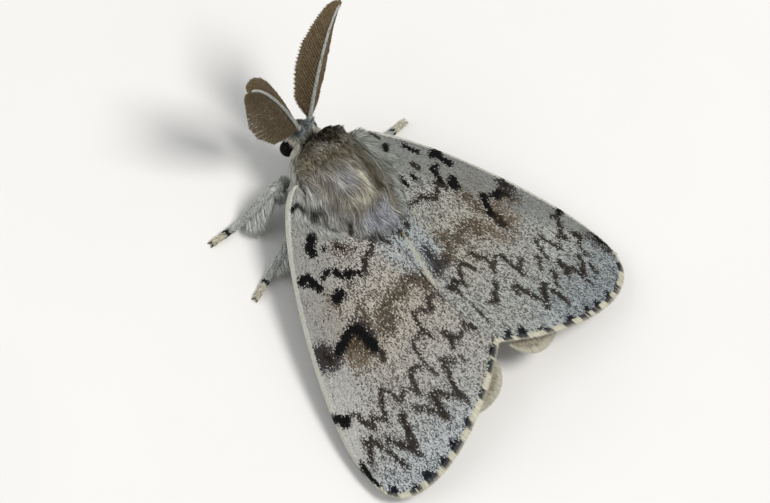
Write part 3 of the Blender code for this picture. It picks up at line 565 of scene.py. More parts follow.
def kites(roots, ways, ups, lengths, widths, rise):
    """Closed kite-shaped scales: root, left, right, tip and a raised middle."""
    across = unit(np.cross(ways, ups))
    long, wide = lengths[:, None], widths[:, None] / 2
    tip = roots + ways * long + ups * rise[:, None]
    belly = roots + ways * long * 0.62 + ups * rise[:, None] * 0.6
    points = np.stack([roots, belly - across * wide, belly + across * wide, tip, belly + ups * wide * 0.35],
                      axis=1)
    shape = np.array(((0, 4, 1), (0, 2, 4), (1, 4, 3), (4, 2, 3), (0, 1, 3), (0, 3, 2)))
    faces = (shape[None] + np.arange(len(roots))[:, None, None] * 5).reshape(-1, 3)
    share = np.array((0.0, 0.62, 0.62, 1.0, 0.62))
    step_across = np.array((0.0, -1.0, 1.0, 0.0, 0.0))
    return points.reshape(-1, 3), faces, share, step_across


PATCH = 0.003


def patches(places, share, step_across):
    """OFBake places of tufts: each a patch at its root's place on the skin's unwrap."""
    spread = np.stack([step_across * PATCH / 2, (share - 0.5) * PATCH], axis=1)
    return (np.clip(places, PATCH, 1 - PATCH)[:, None] + spread[None]).reshape(-1, 2)


def shaded(tones, share, root=0.72, tip=1.1):
    """Tones along each tuft, darker at its root. tones has one per tuft or one per point."""
    level = root + (tip - root) * share
    tones = tones[:, None] if tones.ndim == 2 else tones
    return (tones * level[None, :, None]).reshape(-1, 3)


def scatter(surface, count, chance, weight=None, rows=90):
    """Random places (u, v) over a surface of two shares, even by area times a weight."""
    side = (np.arange(rows) + 0.5) / rows
    u, v = [grid.ravel() for grid in np.meshgrid(side, side)]
    here, step = surface(u, v), 0.5 / rows
    area = np.linalg.norm(np.cross(surface(u + step, v) - here, surface(u, v + step) - here), axis=1)
    if weight is not None:
        area = area * weight(u, v)
    chosen = chance.choice(len(u), count, p=area / area.sum())
    jitter = chance.uniform(-0.5, 0.5, (2, count)) / rows
    return u[chosen] + jitter[0], v[chosen] + jitter[1]


def seam_ridge(share, place, width):
    """How near points of the right forewing are to the ridge that runs into its inner edge: a raised fold whose
    cream line is partly pale scales and partly a painted highlight along the fold.
    """
    line = 0.955 + 0.036 * smooth(0.55, 0.72, share)
    return np.exp(-(((place - line) / width) ** 2)) * smooth(0.52, 0.56, share) * smooth(0.75, 0.72, share)


def roof(x, y):
    """Height of the top face of the forewing solids."""
    x = np.abs(x)
    return RIDGE_HEIGHT - RIDGE_FALL * y - ROOF_SLOPE * x - ROOF_CAMBER * x * x


def fore_inner(side, over):
    """Inner edge of a forewing in plan: round the thorax, then along the seam, moved over it by a little."""
    half_x, half_y = THORAX_HALF[0] + GAP, THORAX_HALF[1] + GAP
    edge = []
    for degrees in (4, 20, 36, 52, 66, 78):
        across, back = math.cos(math.radians(degrees)), math.sin(math.radians(degrees))
        power = 2 / THORAX_BLUNT
        edge.append((half_x * across**power, THORAX_CENTRE[1] + half_y * back**power))
    for y in (0.6, 2.5, 4.5, 6.5, 8.5, SEAM_REACH - 0.1):
        edge.append((GAP / 2 - over + side * SEAM_BOW * math.sin(math.pi * y / SEAM_REACH), y))
    return edge


# Tone of the smooth strip along a forewing's leading edge
STRIP = np.array((0.56, 0.555, 0.485))

# How much paler and browner the rim of each kind of mark is than its core
RIM = {"black": (4.5, 3.7, 3.0), "dark": (3.0, 2.5, 2.0), "brown": (1.5, 1.45, 1.4), "smoke": (2.2, 2.0, 2.0),
       "tan": (2.0, 2.1, 2.6), "grey": (1.6, 1.6, 1.6), "spot": (3.0, 3.0, 3.2)}

# Share of the scales of a mark that carry its tone, where it isn't nearly all
SHOWN = {"brown": 0.84, "tan": 0.84, "dark": 0.95, "black": 1.0, "spot": 1.0}

# Tone of the flecks towards a forewing's margin
FLECK_OUTER = np.array((0.085, 0.092, 0.100))

# How far each forewing reaches over the seam: the right one lies on the left one
SEAM_OVER = {1: 0.08, -1: 0.45}


def patch_plan(costa, margin, inner, share, place):
    """Plan of a wing at shares from root to margin and places from leading to inner edge."""
    share, place = np.broadcast_arrays(np.asarray(share, float), np.asarray(place, float))
    s, p = share[..., None], place[..., None]
    lead, trail = bezier(costa, share), inner(share)
    first, last = np.array(costa[0]), np.array(costa[-1])
    near, far = inner(np.array(0.0)), inner(np.array(1.0))
    ends = (first * (1 - p) + near * p) * (1 - s) + margin(place) * s
    corners = (first * (1 - p) + near * p) * (1 - s) + (last * (1 - p) + far * p) * s
    return lead * (1 - p) + trail * p + ends - corners


def fore_plan(side):
    """The plan of one forewing as a function of share and place."""
    edge = fore_inner(side, SEAM_OVER[side])
    handles = FORE_MARGIN[:3] + (edge[-1],)

    def plan(share, place):
        return patch_plan(FORE_COSTA, lambda p: bezier(handles, p), lambda s: through(edge, s), share, place)

    return plan


def hind_plan(share, place):
    """The plan of a hindwing at these shares and places."""
    return patch_plan(HIND_COSTA, lambda p: bezier(HIND_MARGIN, p), lambda s: bezier(HIND_INNER, s), share,
                      place)


def relief(veins, share, place):
    """Height of the veins and of the shallow folds between them."""
    height = np.zeros(np.broadcast(share, place).shape)
    for spot, start in veins:
        vein = np.exp(-(((place - spot) / VEIN_WIDTH) ** 2)) * smooth(start, start + 0.08, share)
        fold = np.exp(-(((place - spot) / FOLD_WIDTH) ** 2)) * share
        height = height + VEIN_HEIGHT * vein + FOLD_HEIGHT * fold
    return height


def fore_top(side, share, place):
    """Upper face of a forewing's membrane: rounded over at its leading edge, and rolled at the seam."""
    plan = fore_plan(side)(share, place)
    z = roof(plan[..., 0], plan[..., 1]) - 0.1 + relief(FORE_VEINS, share, place)
    z = z - 0.3 * (1 - np.clip(place / LEAD_PLACE, 0, 1)) ** 2
    seam = smooth(0.95, 1.0, place) * smooth(0.33, 0.5, share)
    z = z + (0.12 if side < 0 else -0.06) * seam * (1 - 0.6 * smooth(0.7, 0.9, share))
    if side < 0:
        z = z + 0.06 * seam_ridge(share, place, 0.010)
    return np.concatenate([plan * (side, 1), z[..., None]], axis=-1)


def fore_thick(share, place):
    """Thickness of the membrane: a thin sheet with a thicker leading edge."""
    lead = np.clip(place / LEAD_PLACE, 0, 1)
    return 0.02 + 0.09 * (1 - 0.6 * share) + LEAD_THICK * np.sqrt(lead) * (1 - smooth(0.3, 1.0, lead))


def hind_top(side, share, place):
    """Upper face of a hindwing's membrane."""
    plan = hind_plan(share, place)
    z = roof(plan[..., 0], plan[..., 1]) - SHEET - GAP - 0.08 + relief(HIND_VEINS, share, place)
    return np.concatenate([plan * (side, 1), z[..., None]], axis=-1)


def wing_unwrap(plan, under=False):
    """OFBake place of a point on a wing, from its plan laid flat; the underside lies beside the top."""
    u = (np.abs(plan[..., 0]) + 0.8) / 29 + (0.5 if under else 0.0)
    return np.stack([u, (plan[..., 1] + 8) / 29], axis=-1)


def mark_cover(marks, plan, soft):
    """How much each kind of mark covers at points of a wing's plan."""
    covers = {}
    swell = noise(plan, (0.45, 0.45), 23)
    for kind, width, line in marks:
        line = np.array(line)
        wide = width * (0.7 + 0.75 * swell) if kind in ("black", "dark") else width
        best = np.full(len(plan), 9.0)
        for a, b in zip(line[:-1], line[1:]):
            reach = b - a
            share = np.clip(((plan - a) @ reach) / max(reach @ reach, 1e-9), 0, 1)
            best = np.minimum(best, np.linalg.norm(plan - a - share[:, None] * reach, axis=1))
        most, edge = MARK_COVER[kind]
        edge = edge + soft
        cover = most * smooth(edge, -edge, best - wide / 2)
        covers[kind] = np.maximum(covers.get(kind, 0.0), cover)
    return covers


def middle_share(plan):
    """How much points of a forewing's plan lie in its warm middle, from 0 to 1."""
    x, y = np.abs(plan[:, 0]), plan[:, 1]
    return np.exp(-(((y - 3.6) / 3.6) ** 2)) * smooth(9.5, 6.5, x) * smooth(0.2, 1.4, x)


def ground_tone(side, plan):
    """Tone of a forewing between its marks: warm in the middle, bluish towards margin and inner edge, with
    painted shade beside the leading edge, where its sloping side gets less light. The right wing also carries
    painted shade over its outer part, and it is painted a little cooler for the cool light that falls on it.
    """
    x, y = np.abs(plan[:, 0]), plan[:, 1]
    costa = 2.7 + (y + 6.4) * 0.66
    tone = mix(PALE * 0.95, WARM * 1.08, middle_share(plan) * 0.85)
    outer = smooth(8.5, 13.5, y) * smooth(2.0, 6.0, x)
    # Painted light and shade: the outer part is made lighter on the left wing than on the right one
    tone = mix(tone, BLUISH * (1.14 if side > 0 else 0.97), outer * 0.7)
    inner = smooth(2.4, 1.2, x) * smooth(-3.0, -0.5, y) * smooth(4.2, 3.0, y)
    tone = mix(tone, BLUISH, inner * 0.75)
    # Painted shade: the sloping side along the leading edge is darkened because it gets less light; on the left
    # wing this turns to a little painted light further back
    beside = smooth(2.6, 0.6, costa - x)
    if side > 0:
        return tone * (1 - 0.22 * beside * smooth(4.5, 2.5, y) + 0.08 * beside * smooth(4.5, 6.5, y))[:, None]
    # Painted light: the right wing's ground is made a little cooler for the cool light that falls on it
    tone = tone * (0.95, 1.0, 1.01)
    # Painted shade beside the leading edge and over the outer part of the right wing
    return tone * (1 - 0.42 * beside - 0.2 * smooth(8.0, 11.0, y) * smooth(3.0, 8.0, x))[:, None]


def fleck_share(side, plan):
    """Share of dark scales over the plan of a forewing: few along its leading edge, many in the middle."""
    x, y = np.abs(plan[:, 0]), plan[:, 1]
    costa = 2.7 + (y + 6.4) * 0.66
    share = 0.2 + 0.17 * smooth(0.8, 3.0, costa - x) * smooth(-4.0, -0.5, y)
    share = share - 0.13 * smooth(2.2, 1.0, x) * smooth(3.8, 2.6, y) - 0.17 * smooth(1.7, 0.5, costa - x)
    return share + 0.16 * (noise(plan, (1.1, 1.1), 61 + side) - 0.5)


def ranked(values):
    """The rank of each value, from 0 to 1."""
    ranks = np.empty(len(values))
    ranks[np.argsort(values)] = np.arange(len(values)) / len(values)
    return ranks


def fore_tone(side, plan, lie, share, place, chance=None):
    """Tone of a forewing at points of its plan, with single scales picked out where chance is given."""
    marks = MARKS_LEFT if side > 0 else MARKS_RIGHT
    ground = ground_tone(side, plan)
    shown = plan
    soft = 0.05
    if chance is not None:
        along = lie * chance.normal(0, 0.1, (len(plan), 1))
        shown = plan + along + chance.normal(0, 0.025, plan.shape)
        soft = 0.0
        grain = np.stack([place * 12.5, share * 19], axis=1)
        value = ranked(noise(grain, (0.085, 0.2), 17 + side) * 0.42 + chance.random(len(plan)) * 0.58)
        level = smooth(-0.03, 0.08, value - fleck_share(side, plan))
        bright = 0.86 + 0.52 * value**2 + 0.22 * chance.random(len(plan))
        outer = smooth(8.0, 11.0, plan[:, 1]) * smooth(2.0, 5.0, np.abs(plan[:, 0]))
        fleck = mix(FLECK, FLECK_OUTER, outer)
        fleck = fleck * (1 - 0.35 * middle_share(plan))[:, None]
        ground = mix(fleck * chance.uniform(0.35, 1.6, (len(plan), 1)), ground * bright[:, None], level)
    else:
        ground = ground * 0.8
    tone = ground
    covers = mark_cover(marks, shown, soft)
    for kind in ("tan", "brown", "smoke", "grey", "dark", "black", "spot"):
        if kind not in covers:
            continue
        cover = covers[kind]
        mark = np.array(MARK_TONES[kind])
        if chance is not None:
            most = MARK_COVER[kind][0]
            core = np.clip(cover / most, 0, 1)
            cover = most * (chance.random(len(plan)) < core**0.8)
            cover = cover * (chance.random(len(plan)) < SHOWN.get(kind, 0.96))
            rim = 1 + (np.array(RIM[kind]) - 1) * (1 - core[:, None])
            mark = mark * rim * chance.uniform(0.35, 1.7, (len(plan), 1))
            if kind in ("brown", "tan"):
                mark = mark * np.where(chance.random(len(plan)) < 0.45, 0.4, 1.5)[:, None]
        tone = mix(tone, mark, np.clip(cover, 0, 1))
    if side < 0:
        # Cream along the seam's ridge: partly pale scales, partly a painted highlight on the fold
        tone = mix(tone, CREAM * 0.85, 0.85 * seam_ridge(share, place, 0.007))
    edge = smooth(0.038, 0.026, place - 0.03 * smooth(0.4, 0.1, share) - (0.02 if side < 0 else 0.0))
    marked = np.clip(covers.get("black", 0) + covers.get("dark", 0), 0, 1)
    grain = 1.0 if chance is None else chance.uniform(0.85, 1.1, (len(plan), 1))
    return mix(tone, STRIP * grain, edge * 0.95 * (1 - marked * smooth(0.1, 0.2, share)))


def sheet_mesh(top, thick, shares, places):
    """A closed thin sheet between its top face and its underside: points and faces."""
    grid_share, grid_place = np.meshgrid(shares, places, indexing="ij")
    upper = top(grid_share, grid_place)
    lower = upper - np.stack([np.zeros_like(grid_share)] * 2 + [thick(grid_share, grid_place)], axis=-1)
    rows, width = grid_share.shape
    number = np.arange(rows * width).reshape(rows, width)
    quads = np.stack([number[:-1, :-1], number[:-1, 1:], number[1:, 1:], number[1:, :-1]],
                     axis=-1).reshape(-1, 4)
    rim = np.concatenate([number[0, :-1], number[:-1, -1], number[-1, :0:-1], number[:0:-1, 0]])
    after = np.roll(rim, -1)
    walls = np.stack([after, rim, rim + rows * width, after + rows * width], axis=1)
    points = np.concatenate([upper.reshape(-1, 3), lower.reshape(-1, 3)])
    under = quads[:, ::-1] + rows * width
    return points, np.concatenate([quads, under, walls])


def outward(points, faces):
    """Faces turned so that the closed shape faces out."""
    corner = points[faces[:, :3]]
    volume = np.einsum("ij,ij->i", corner[:, 0], np.cross(corner[:, 1], corner[:, 2])).sum()
    if faces.shape[1] == 4:
        corner = points[faces[:, [0, 2, 3]]]
        volume += np.einsum("ij,ij->i", corner[:, 0], np.cross(corner[:, 1], corner[:, 2])).sum()
    return faces if volume > 0 else faces[:, ::-1]


# Share of each wing at which its membrane ends, so that its fringe of scales reaches the solid's margin
FORE_END = 0.966
HIND_END = 0.945


def sheet_piece(name, side, top, thick, end, tone_of, material, slot):
    """The membrane of one wing as a piece, its tones the coat's own."""
    shares = np.linspace(0.0, end, 96)
    places = np.concatenate([np.linspace(0, 0.05, 9), np.linspace(0.05, 1, 84)[1:]])
    points, faces = sheet_mesh(lambda s, p: top(side, s, p), thick, shares, places)
    faces = outward(points, faces)
    half = len(points) // 2
    grid_share, grid_place = np.repeat(shares, len(places)), np.tile(places, len(shares))
    tones = tone_of(points[:half, :2] * (side, 1), grid_share, grid_place)
    tones = np.concatenate([tones, 0.5 * tones + 0.5 * PALE * 0.7])
    flat = points[faces.ravel(), :2]
    under = np.repeat(faces.min(axis=1) >= half, 4)
    places_uv = np.where(under[:, None], wing_unwrap(flat, True), wing_unwrap(flat))
    return make_piece(name, points, faces, tones, places_uv, material, slot)


# How much larger the places of a wing's coat are on the OFBake map than those of its membrane
COAT_ON_MAP = 1.24


def coat_map(plan, share, step_across):
    """OFBake places of a wing's scales: a patch at the place of each root."""
    return patches(wing_unwrap(plan) * COAT_ON_MAP, share, step_across)


def scale_rows(top, side, end, row_gap, column_gap, chance):
    """Rows of places over a wing, even in both directions: shares and places of every scale."""
    fine = np.linspace(0, end, 200)
    lead = top(side, fine, np.full(200, 0.3))
    length = np.linalg.norm(np.diff(lead, axis=0), axis=1).sum()
    rows = int(length / row_gap)
    shares, places = [], []
    for row in range(rows):
        share = end * (row + 0.5) / rows
        line = top(side, np.full(60, share), np.linspace(0, 1, 60))
        width = np.linalg.norm(np.diff(line, axis=0), axis=1).sum()
        count = max(int(width / column_gap), 4)
        place = (np.arange(count) + 0.5 * (row % 2) + 0.25) / count + chance.normal(0, 0.22 / count, count)
        shares.append(share + chance.normal(0, 0.3 * end / rows, count))
        places.append(place)
    shares = np.clip(np.concatenate(shares), 0.001, end)
    return shares, np.clip(np.concatenate(places), 0.002, 0.998)


def surface_frame(top, side, share, place):
    """Place, lie towards the margin, and normal of a wing's face at these shares and places."""
    step = 0.004
    here = top(side, share, place)
    ahead = top(side, share + step, place) - top(side, share - step, place)
    beside = top(side, share, np.minimum(place + step, 1)) - top(side, share, np.maximum(place - step, 0))
    normal = unit(np.cross(unit(ahead), unit(beside)))
    normal = normal * np.sign(normal[:, 2:3] + 1e-9)
    return here, unit(ahead), normal


def fore_scales(label, side, material):
    """The upper coat of one forewing: overlapping scales that carry its markings."""
    chance = np.random.default_rng(SEED + 10 + side)
    share, place = scale_rows(fore_top, side, FORE_END, 0.1, 0.0745, chance)
    here, ahead, normal = surface_frame(fore_top, side, share, place)
    sway = np.cross(normal, ahead) * chance.normal(0, 0.16, (len(share), 1))
    ways = unit(ahead + sway)
    length = chance.uniform(0.15, 0.22, len(share))
    width = chance.uniform(0.075, 0.105, len(share))
    rise = chance.uniform(0.025, 0.06, len(share))
    plan = here[:, :2] * (side, 1)
    tones = fore_tone(side, plan, ahead[:, :2] * (side, 1), share, place, chance)
    points, faces, along, across = kites(here - normal * 0.012, ways, normal, length, width, rise)
    places = coat_map(plan, along, across)
    return make_piece(f"forewing_{label}_scales", points, faces, shaded(tones, along), places, material,
                      "forewing", False)


def under_scales(name, side, top, thick, end, tone, material, slot):
    """The coarser pale coat of a wing's underside."""
    chance = np.random.default_rng(SEED + 30 + side + len(name))
    share, place = scale_rows(top, side, end, 0.265, 0.205, chance)
    here, ahead, normal = surface_frame(top, side, share, place)
    here[:, 2] -= thick(share, place)
    length = chance.uniform(0.38, 0.52, len(share))
    width = chance.uniform(0.18, 0.25, len(share))
    tones = tone * chance.uniform(0.75, 1.2, (len(share), 1)) * (0.85 + 0.3
                                                                 * noise(here, (1.5, 1.5, 1.5), 5))[:, None]
    points, faces, along, across = kites(here + normal * 0.01, ahead, -normal, length, width,
                                         chance.uniform(0.02, 0.04, len(share)))
    places = coat_map(here[:, :2], along, across)
    return make_piece(name, points, faces, shaded(tones, along), places, material, slot, False)


def fringe(name, side, top, end, tone_of, count, layers, longest, material, slot):
    """Long narrow scales in a fringe past a wing's margin."""
    chance = np.random.default_rng(SEED + 50 + side + len(name))
    place = np.tile((np.arange(count) + 0.5) / count, layers) + chance.normal(0, 0.6 / count, count * layers)
    place = np.clip(place, 0.004, 0.996)
    layer = np.repeat(np.arange(layers), count)
    share = end - 0.002 - 0.006 * layer / layers
    here, ahead, normal = surface_frame(top, side, share, place)
    edge = top(side, np.ones_like(place), place)
    reach = np.linalg.norm(edge - here, axis=1)
    length = np.minimum(reach * chance.uniform(0.84, 1.0, len(place)), longest)
    ways = unit(edge - here + np.cross(normal, ahead) * chance.normal(0, 0.05, (len(place), 1)))
    tones = tone_of(edge, place, chance)
    base = here - normal * (0.02 + 0.02 * layer / layers)[:, None]
    points, faces, along, across = kites(base, ways, normal, length, chance.uniform(0.07, 0.11, len(place)),
                                         chance.uniform(-0.03, 0.02, len(place)))
    places = coat_map(here[:, :2], along, across)
    return make_piece(name, points, faces, shaded(tones, along, 0.85, 1.05), places, material, slot, False)


def fore_fringe_tone(side):
    """Cream fringe, dark beyond each marginal spot."""
    marks = [mark for mark in (MARKS_LEFT if side > 0 else MARKS_RIGHT) if mark[0] == "spot"]

    def tone_of(edge, place, chance):
        tones = CREAM * chance.uniform(0.7, 1.0, (len(edge), 1))
        plan = edge[:, :2] * (side, 1)
        near = np.full(len(edge), 9.0)
        for _, width, line in marks:
            near = np.minimum(near, np.linalg.norm(plan - np.array(line[-1]), axis=1) - width / 2)
        dark = smooth(0.17, 0.08, near) * (chance.random(len(edge)) < 0.96)
        spots, faded, ends = [mix(tones, FRINGE_DARK, dark * share) for share in (1.0, 0.95, 0.2)]
        return np.stack([spots, faded, faded, ends, faded], axis=1)

    return tone_of


def hind_tone(plan, share, place):
    """Buff tone of a hindwing, a little darker towards its inner edge."""
    band = smooth(0.6, 0.85, place) * 0.25
    return HAIR["hindwing"] * (1 - band)[:, None] * (0.85 + 0.3 * noise(plan, (1.2, 1.2), 3))[:, None]


def hind_scales(label, side, material):
    """The upper coat of one hindwing."""
    chance = np.random.default_rng(SEED + 70 + side)
    share, place = scale_rows(hind_top, side, HIND_END, 0.185, 0.13, chance)
    here, ahead, normal = surface_frame(hind_top, side, share, place)
    tones = hind_tone(here[:, :2] * (side, 1), share, place) * chance.uniform(0.75, 1.3, (len(share), 1))
    points, faces, along, across = kites(here - normal * 0.01, ahead, normal,
                                         chance.uniform(0.3, 0.42, len(share)),
                                         chance.uniform(0.12, 0.17, len(share)),
                                         chance.uniform(0.02, 0.05, len(share)))
    places = coat_map(here[:, :2], along, across)
    return make_piece(f"hindwing_{label}_scales", points, faces, shaded(tones, along), places, material,
                      "hindwing", False)


def hind_fringe_tone(edge, place, chance):
    """Pale cream fringe of a hindwing."""
    return CREAM * 0.8 * chance.uniform(0.7, 1.1, (len(edge), 1))


def thin(share, _):
    """Thickness of a hindwing's membrane."""
    return 0.03 + 0.06 * (1 - share)


def make_wings():
    """Both pairs of wings: membranes, scales above and below, and fringes."""
    scale = coat_material("wing_scale", 0.6, 0.05, sheen=0.02, bump=0.15, strength=0.12)
    membrane = coat_material("wing_membrane", 0.7, 0.08, bump=0.4, strength=0.25, stretch=(1.0, 0.35, 1.0))
    for label, side in SIDES.items():
        fore = sheet_piece(f"forewing_{label}_skin", side, fore_top, fore_thick, FORE_END,
                           lambda plan, share, place: fore_tone(side, plan, plan * 0, share, place), membrane,
                           "forewing")
        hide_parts(f"forewing_{label}")
        fore_scales(label, side, scale)
        under_scales(f"forewing_{label}_under", side, fore_top, fore_thick, FORE_END, PALE * 0.85, scale,
                     "forewing")
        fringe(f"forewing_{label}_fringe", side, fore_top, FORE_END, fore_fringe_tone(side), 430, 5, 0.8,
               scale, "forewing")
        hind = sheet_piece(f"hindwing_{label}_skin", side, hind_top, thin, HIND_END, hind_tone, membrane,
                           "hindwing")
        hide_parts(f"hindwing_{label}")
        hind_scales(label, side, scale)
        under_scales(f"hindwing_{label}_under", side, hind_top, thin, HIND_END, CREAM * 0.75, scale,
                     "hindwing")
        fringe(f"hindwing_{label}_fringe", side, hind_top, HIND_END, hind_fringe_tone, 360, 4, 0.9, scale,
               "hindwing")


def ball_point(centre, half, back, turn, blunt=2.0):
    """Points at angles back from the front pole and round from the top, in degrees, and their normals."""
    back, turn = np.radians(back), np.radians(turn)
    along = -np.sign(np.cos(back)) * np.abs(np.cos(back)) ** (2 / blunt)
    out = np.abs(np.sin(back)) ** (2 / blunt)
    offset = np.stack([half[0] * out * np.sin(turn), half[1] * along, half[2] * out * np.cos(turn)], axis=-1)
    steep = np.sign(along) * np.abs(along) ** (blunt - 1)
    wide = out ** (blunt - 1)
    normal = np.stack([wide * np.sin(turn) / half[0], steep / half[1], wide * np.cos(turn) / half[2]],
                      axis=-1)
    return centre + offset, unit(normal)


def ball_size(centre, half, blunt, points):
    """How far out points lie from a ball's middle, 1 on its surface, and the normal there."""
    arm = points - centre
    out = np.hypot(arm[..., 0] / half[0], arm[..., 2] / half[2])
    along = arm[..., 1] / half[1]
    size = (np.abs(along) ** blunt + out**blunt) ** (1 / blunt)
    wide = np.maximum(out, 1e-6) ** (blunt - 2)
    steep = np.sign(along) * np.abs(along) ** (blunt - 1)
    normal = np.stack([wide * arm[..., 0] / half[0] ** 2, steep / half[1], wide * arm[..., 2] / half[2] ** 2],
                      axis=-1)
    return size, unit(normal)


def on_ball_again(centre, half, blunt, points):
    """Points moved along their arm back to a ball's surface, and the normals there."""
    size, normal = ball_size(centre, half, blunt, points)
    return centre + (points - centre) / size[..., None], normal


def leg_joints(label):
    """Hip, trochanter, knee, ankle and toe of a leg, with the hip inside the thorax."""
    side = SIDES[label.split("_")[1]]
    (back, turn), *joints = LEGS[label]
    start, normal = ball_point(THORAX_CENTRE, THORAX_HALF, np.array(back), np.array(turn * side),
                               THORAX_BLUNT)
    joints = [np.array((x * side, y, z)) for x, y, z in joints]
    return side, start - normal * 0.5, start + normal * 0.75, joints


def leg_lines(label):
    """Lines and radii of a leg's femur, tibia and tarsus, from inside the thorax to the toe."""
    side, hip, coxa, (trochanter, knee, ankle, toe) = leg_joints(label)
    flat = np.array((toe[0], toe[1], TARSUS_AXLE))
    heel = ankle + (flat - ankle) * 0.34
    heel[2] = TARSUS_AXLE + 0.1
    shin = unit(ankle - knee)
    foot_top = ankle + shin * 0.1
    foot_top[2] = max(foot_top[2], 0.42)
    step = foot_top + (heel - foot_top) * 0.7 - (0, 0, 0.12)
    share = np.linspace(0, 1, 31)
    foot = bezier((foot_top, step, heel, flat), share)
    foot[:, 2] = np.maximum(foot[:, 2], TARSUS_AXLE)
    foot_radii = (TARSUS_RADIUS - 0.03 * share) * (1 - 0.16 * np.abs(np.cos(share * 5 * math.pi)) ** 6)
    share = np.linspace(0, 1, 25)
    femur = through((hip, coxa, trochanter, (trochanter + knee) / 2, knee), share)
    femur_radii = FEMUR_RADIUS * (0.95 + 0.15 * np.sin(share * math.pi) - 0.2 * smooth(0.8, 1, share))
    share = np.linspace(0, 1, 15)
    tibia = through((knee, knee + (ankle - knee) * 0.5, foot_top), share)
    tibia_radii = TIBIA_RADIUS * (0.9 + 0.15 * np.sin(share * math.pi))
    return {"femur": (femur, femur_radii), "tibia": (tibia, tibia_radii), "tarsus": (foot, foot_radii)}


def palp_line(side):
    """Line and radii of one palp."""
    start, normal = ball_point(HEAD_CENTRE, HEAD_HALF, np.array(52), np.array(160 * side))
    root = start - normal * 0.25
    bend = start + normal * (GAP + PALP_LENGTH * 0.22)
    lie = unit(np.array((0.06 * side, -0.9, 0.34)))
    knots = [root, start + normal * GAP * 0.6, bend, bend + lie * PALP_LENGTH * 0.4,
             bend + lie * PALP_LENGTH * 0.75]
    return through(knots, np.linspace(0, 1, 15)), PALP_RADIUS * np.array([0.6] * 5 + [0.8] * 5
            + [0.75, 0.7, 0.6, 0.45, 0.3])


def abdomen_ring(share):
    """Centre height and radius of the abdomen at shares from front to rear."""
    swell = np.sin(math.pi * np.minimum(share + 0.16, 1.0) ** 0.75)
    radius = ABDOMEN_RADIUS * (0.36 + 0.64 * np.maximum(swell, 0) ** 0.7)
    radius = radius * (0.97 + 0.035 * np.sin(2 * math.pi * share * ABDOMEN_RINGS))
    return 2.62 - 0.4 * share, radius


def abdomen_point(share, turn):
    """Points on the abdomen and their normals: shares from front to rear, turn in degrees from the top."""
    height, radius = abdomen_ring(share)
    turn = np.radians(turn)
    out = np.stack([np.sin(turn), np.zeros_like(turn), np.cos(turn)], axis=-1)
    y = ABDOMEN_FRONT_Y + ABDOMEN_LENGTH * share
    centre = np.stack([np.zeros_like(y), y, height], axis=-1)
    return centre + out * (1, 1, 0.94) * radius[..., None], out


def limb_list():
    """Every limb of the body with its line and radii, by name."""
    limbs = {}
    for label in LEGS:
        for part, line in leg_lines(label).items():
            limbs[f"leg_{label}_{part}"] = line
    for label, side in SIDES.items():
        limbs[f"palp_{label}"] = palp_line(side)
    limbs["neck"] = (np.array(((0, -8.9, 4.1), (0, -8.2, 4.0), (0, -7.4, 3.9))), np.array((0.75, 0.8, 0.95)))
    return limbs


LIMBS = limb_list()


def close_rings(shape, rings, tips):
    """Faces between rings of a bmesh's vertices, and from its first and last ring to their tips."""
    sides = len(rings[0])
    for first, second in zip(rings, rings[1:]):
        for i in range(sides):
            j = (i + 1) % sides
            shape.faces.new((first[i], first[j], second[j], second[i]))
    for i in range(sides):
        j = (i + 1) % sides
        shape.faces.new((tips[0], rings[0][j], rings[0][i]))
        shape.faces.new((tips[1], rings[-1][i], rings[-1][j]))


def add_tube(shape, line, radii, sides=12):
    """A closed round tube with rounded ends, added to a bmesh."""
    along = unit(np.gradient(line, axis=0))
    ends = [line[0] - along[0] * radii[0] * 0.6, line[-1] + along[-1] * radii[-1] * 0.6]
    across = unit(np.cross(along[0], (0.3, 0.2, 0.9)))
    turns = np.arange(sides) * 2 * math.pi / sides
    rings = []
    for centre, way, radius in zip(line, along, radii):
        across = unit(across - way * (across @ way))
        other = np.cross(way, across)
        ring = [centre + radius * (across * math.cos(turn) + other * math.sin(turn)) for turn in turns]
        rings.append([shape.verts.new(point) for point in ring])
    close_rings(shape, rings, [shape.verts.new(end) for end in ends])


def add_grid(shape, rows):
    """A closed form from rings of points, added to a bmesh, each end drawn to its middle."""
    rings = [[shape.verts.new(point) for point in row] for row in rows]
    close_rings(shape, rings, [shape.verts.new(row.mean(axis=0)) for row in (rows[0], rows[-1])])


SKIN_INSET = 0.06


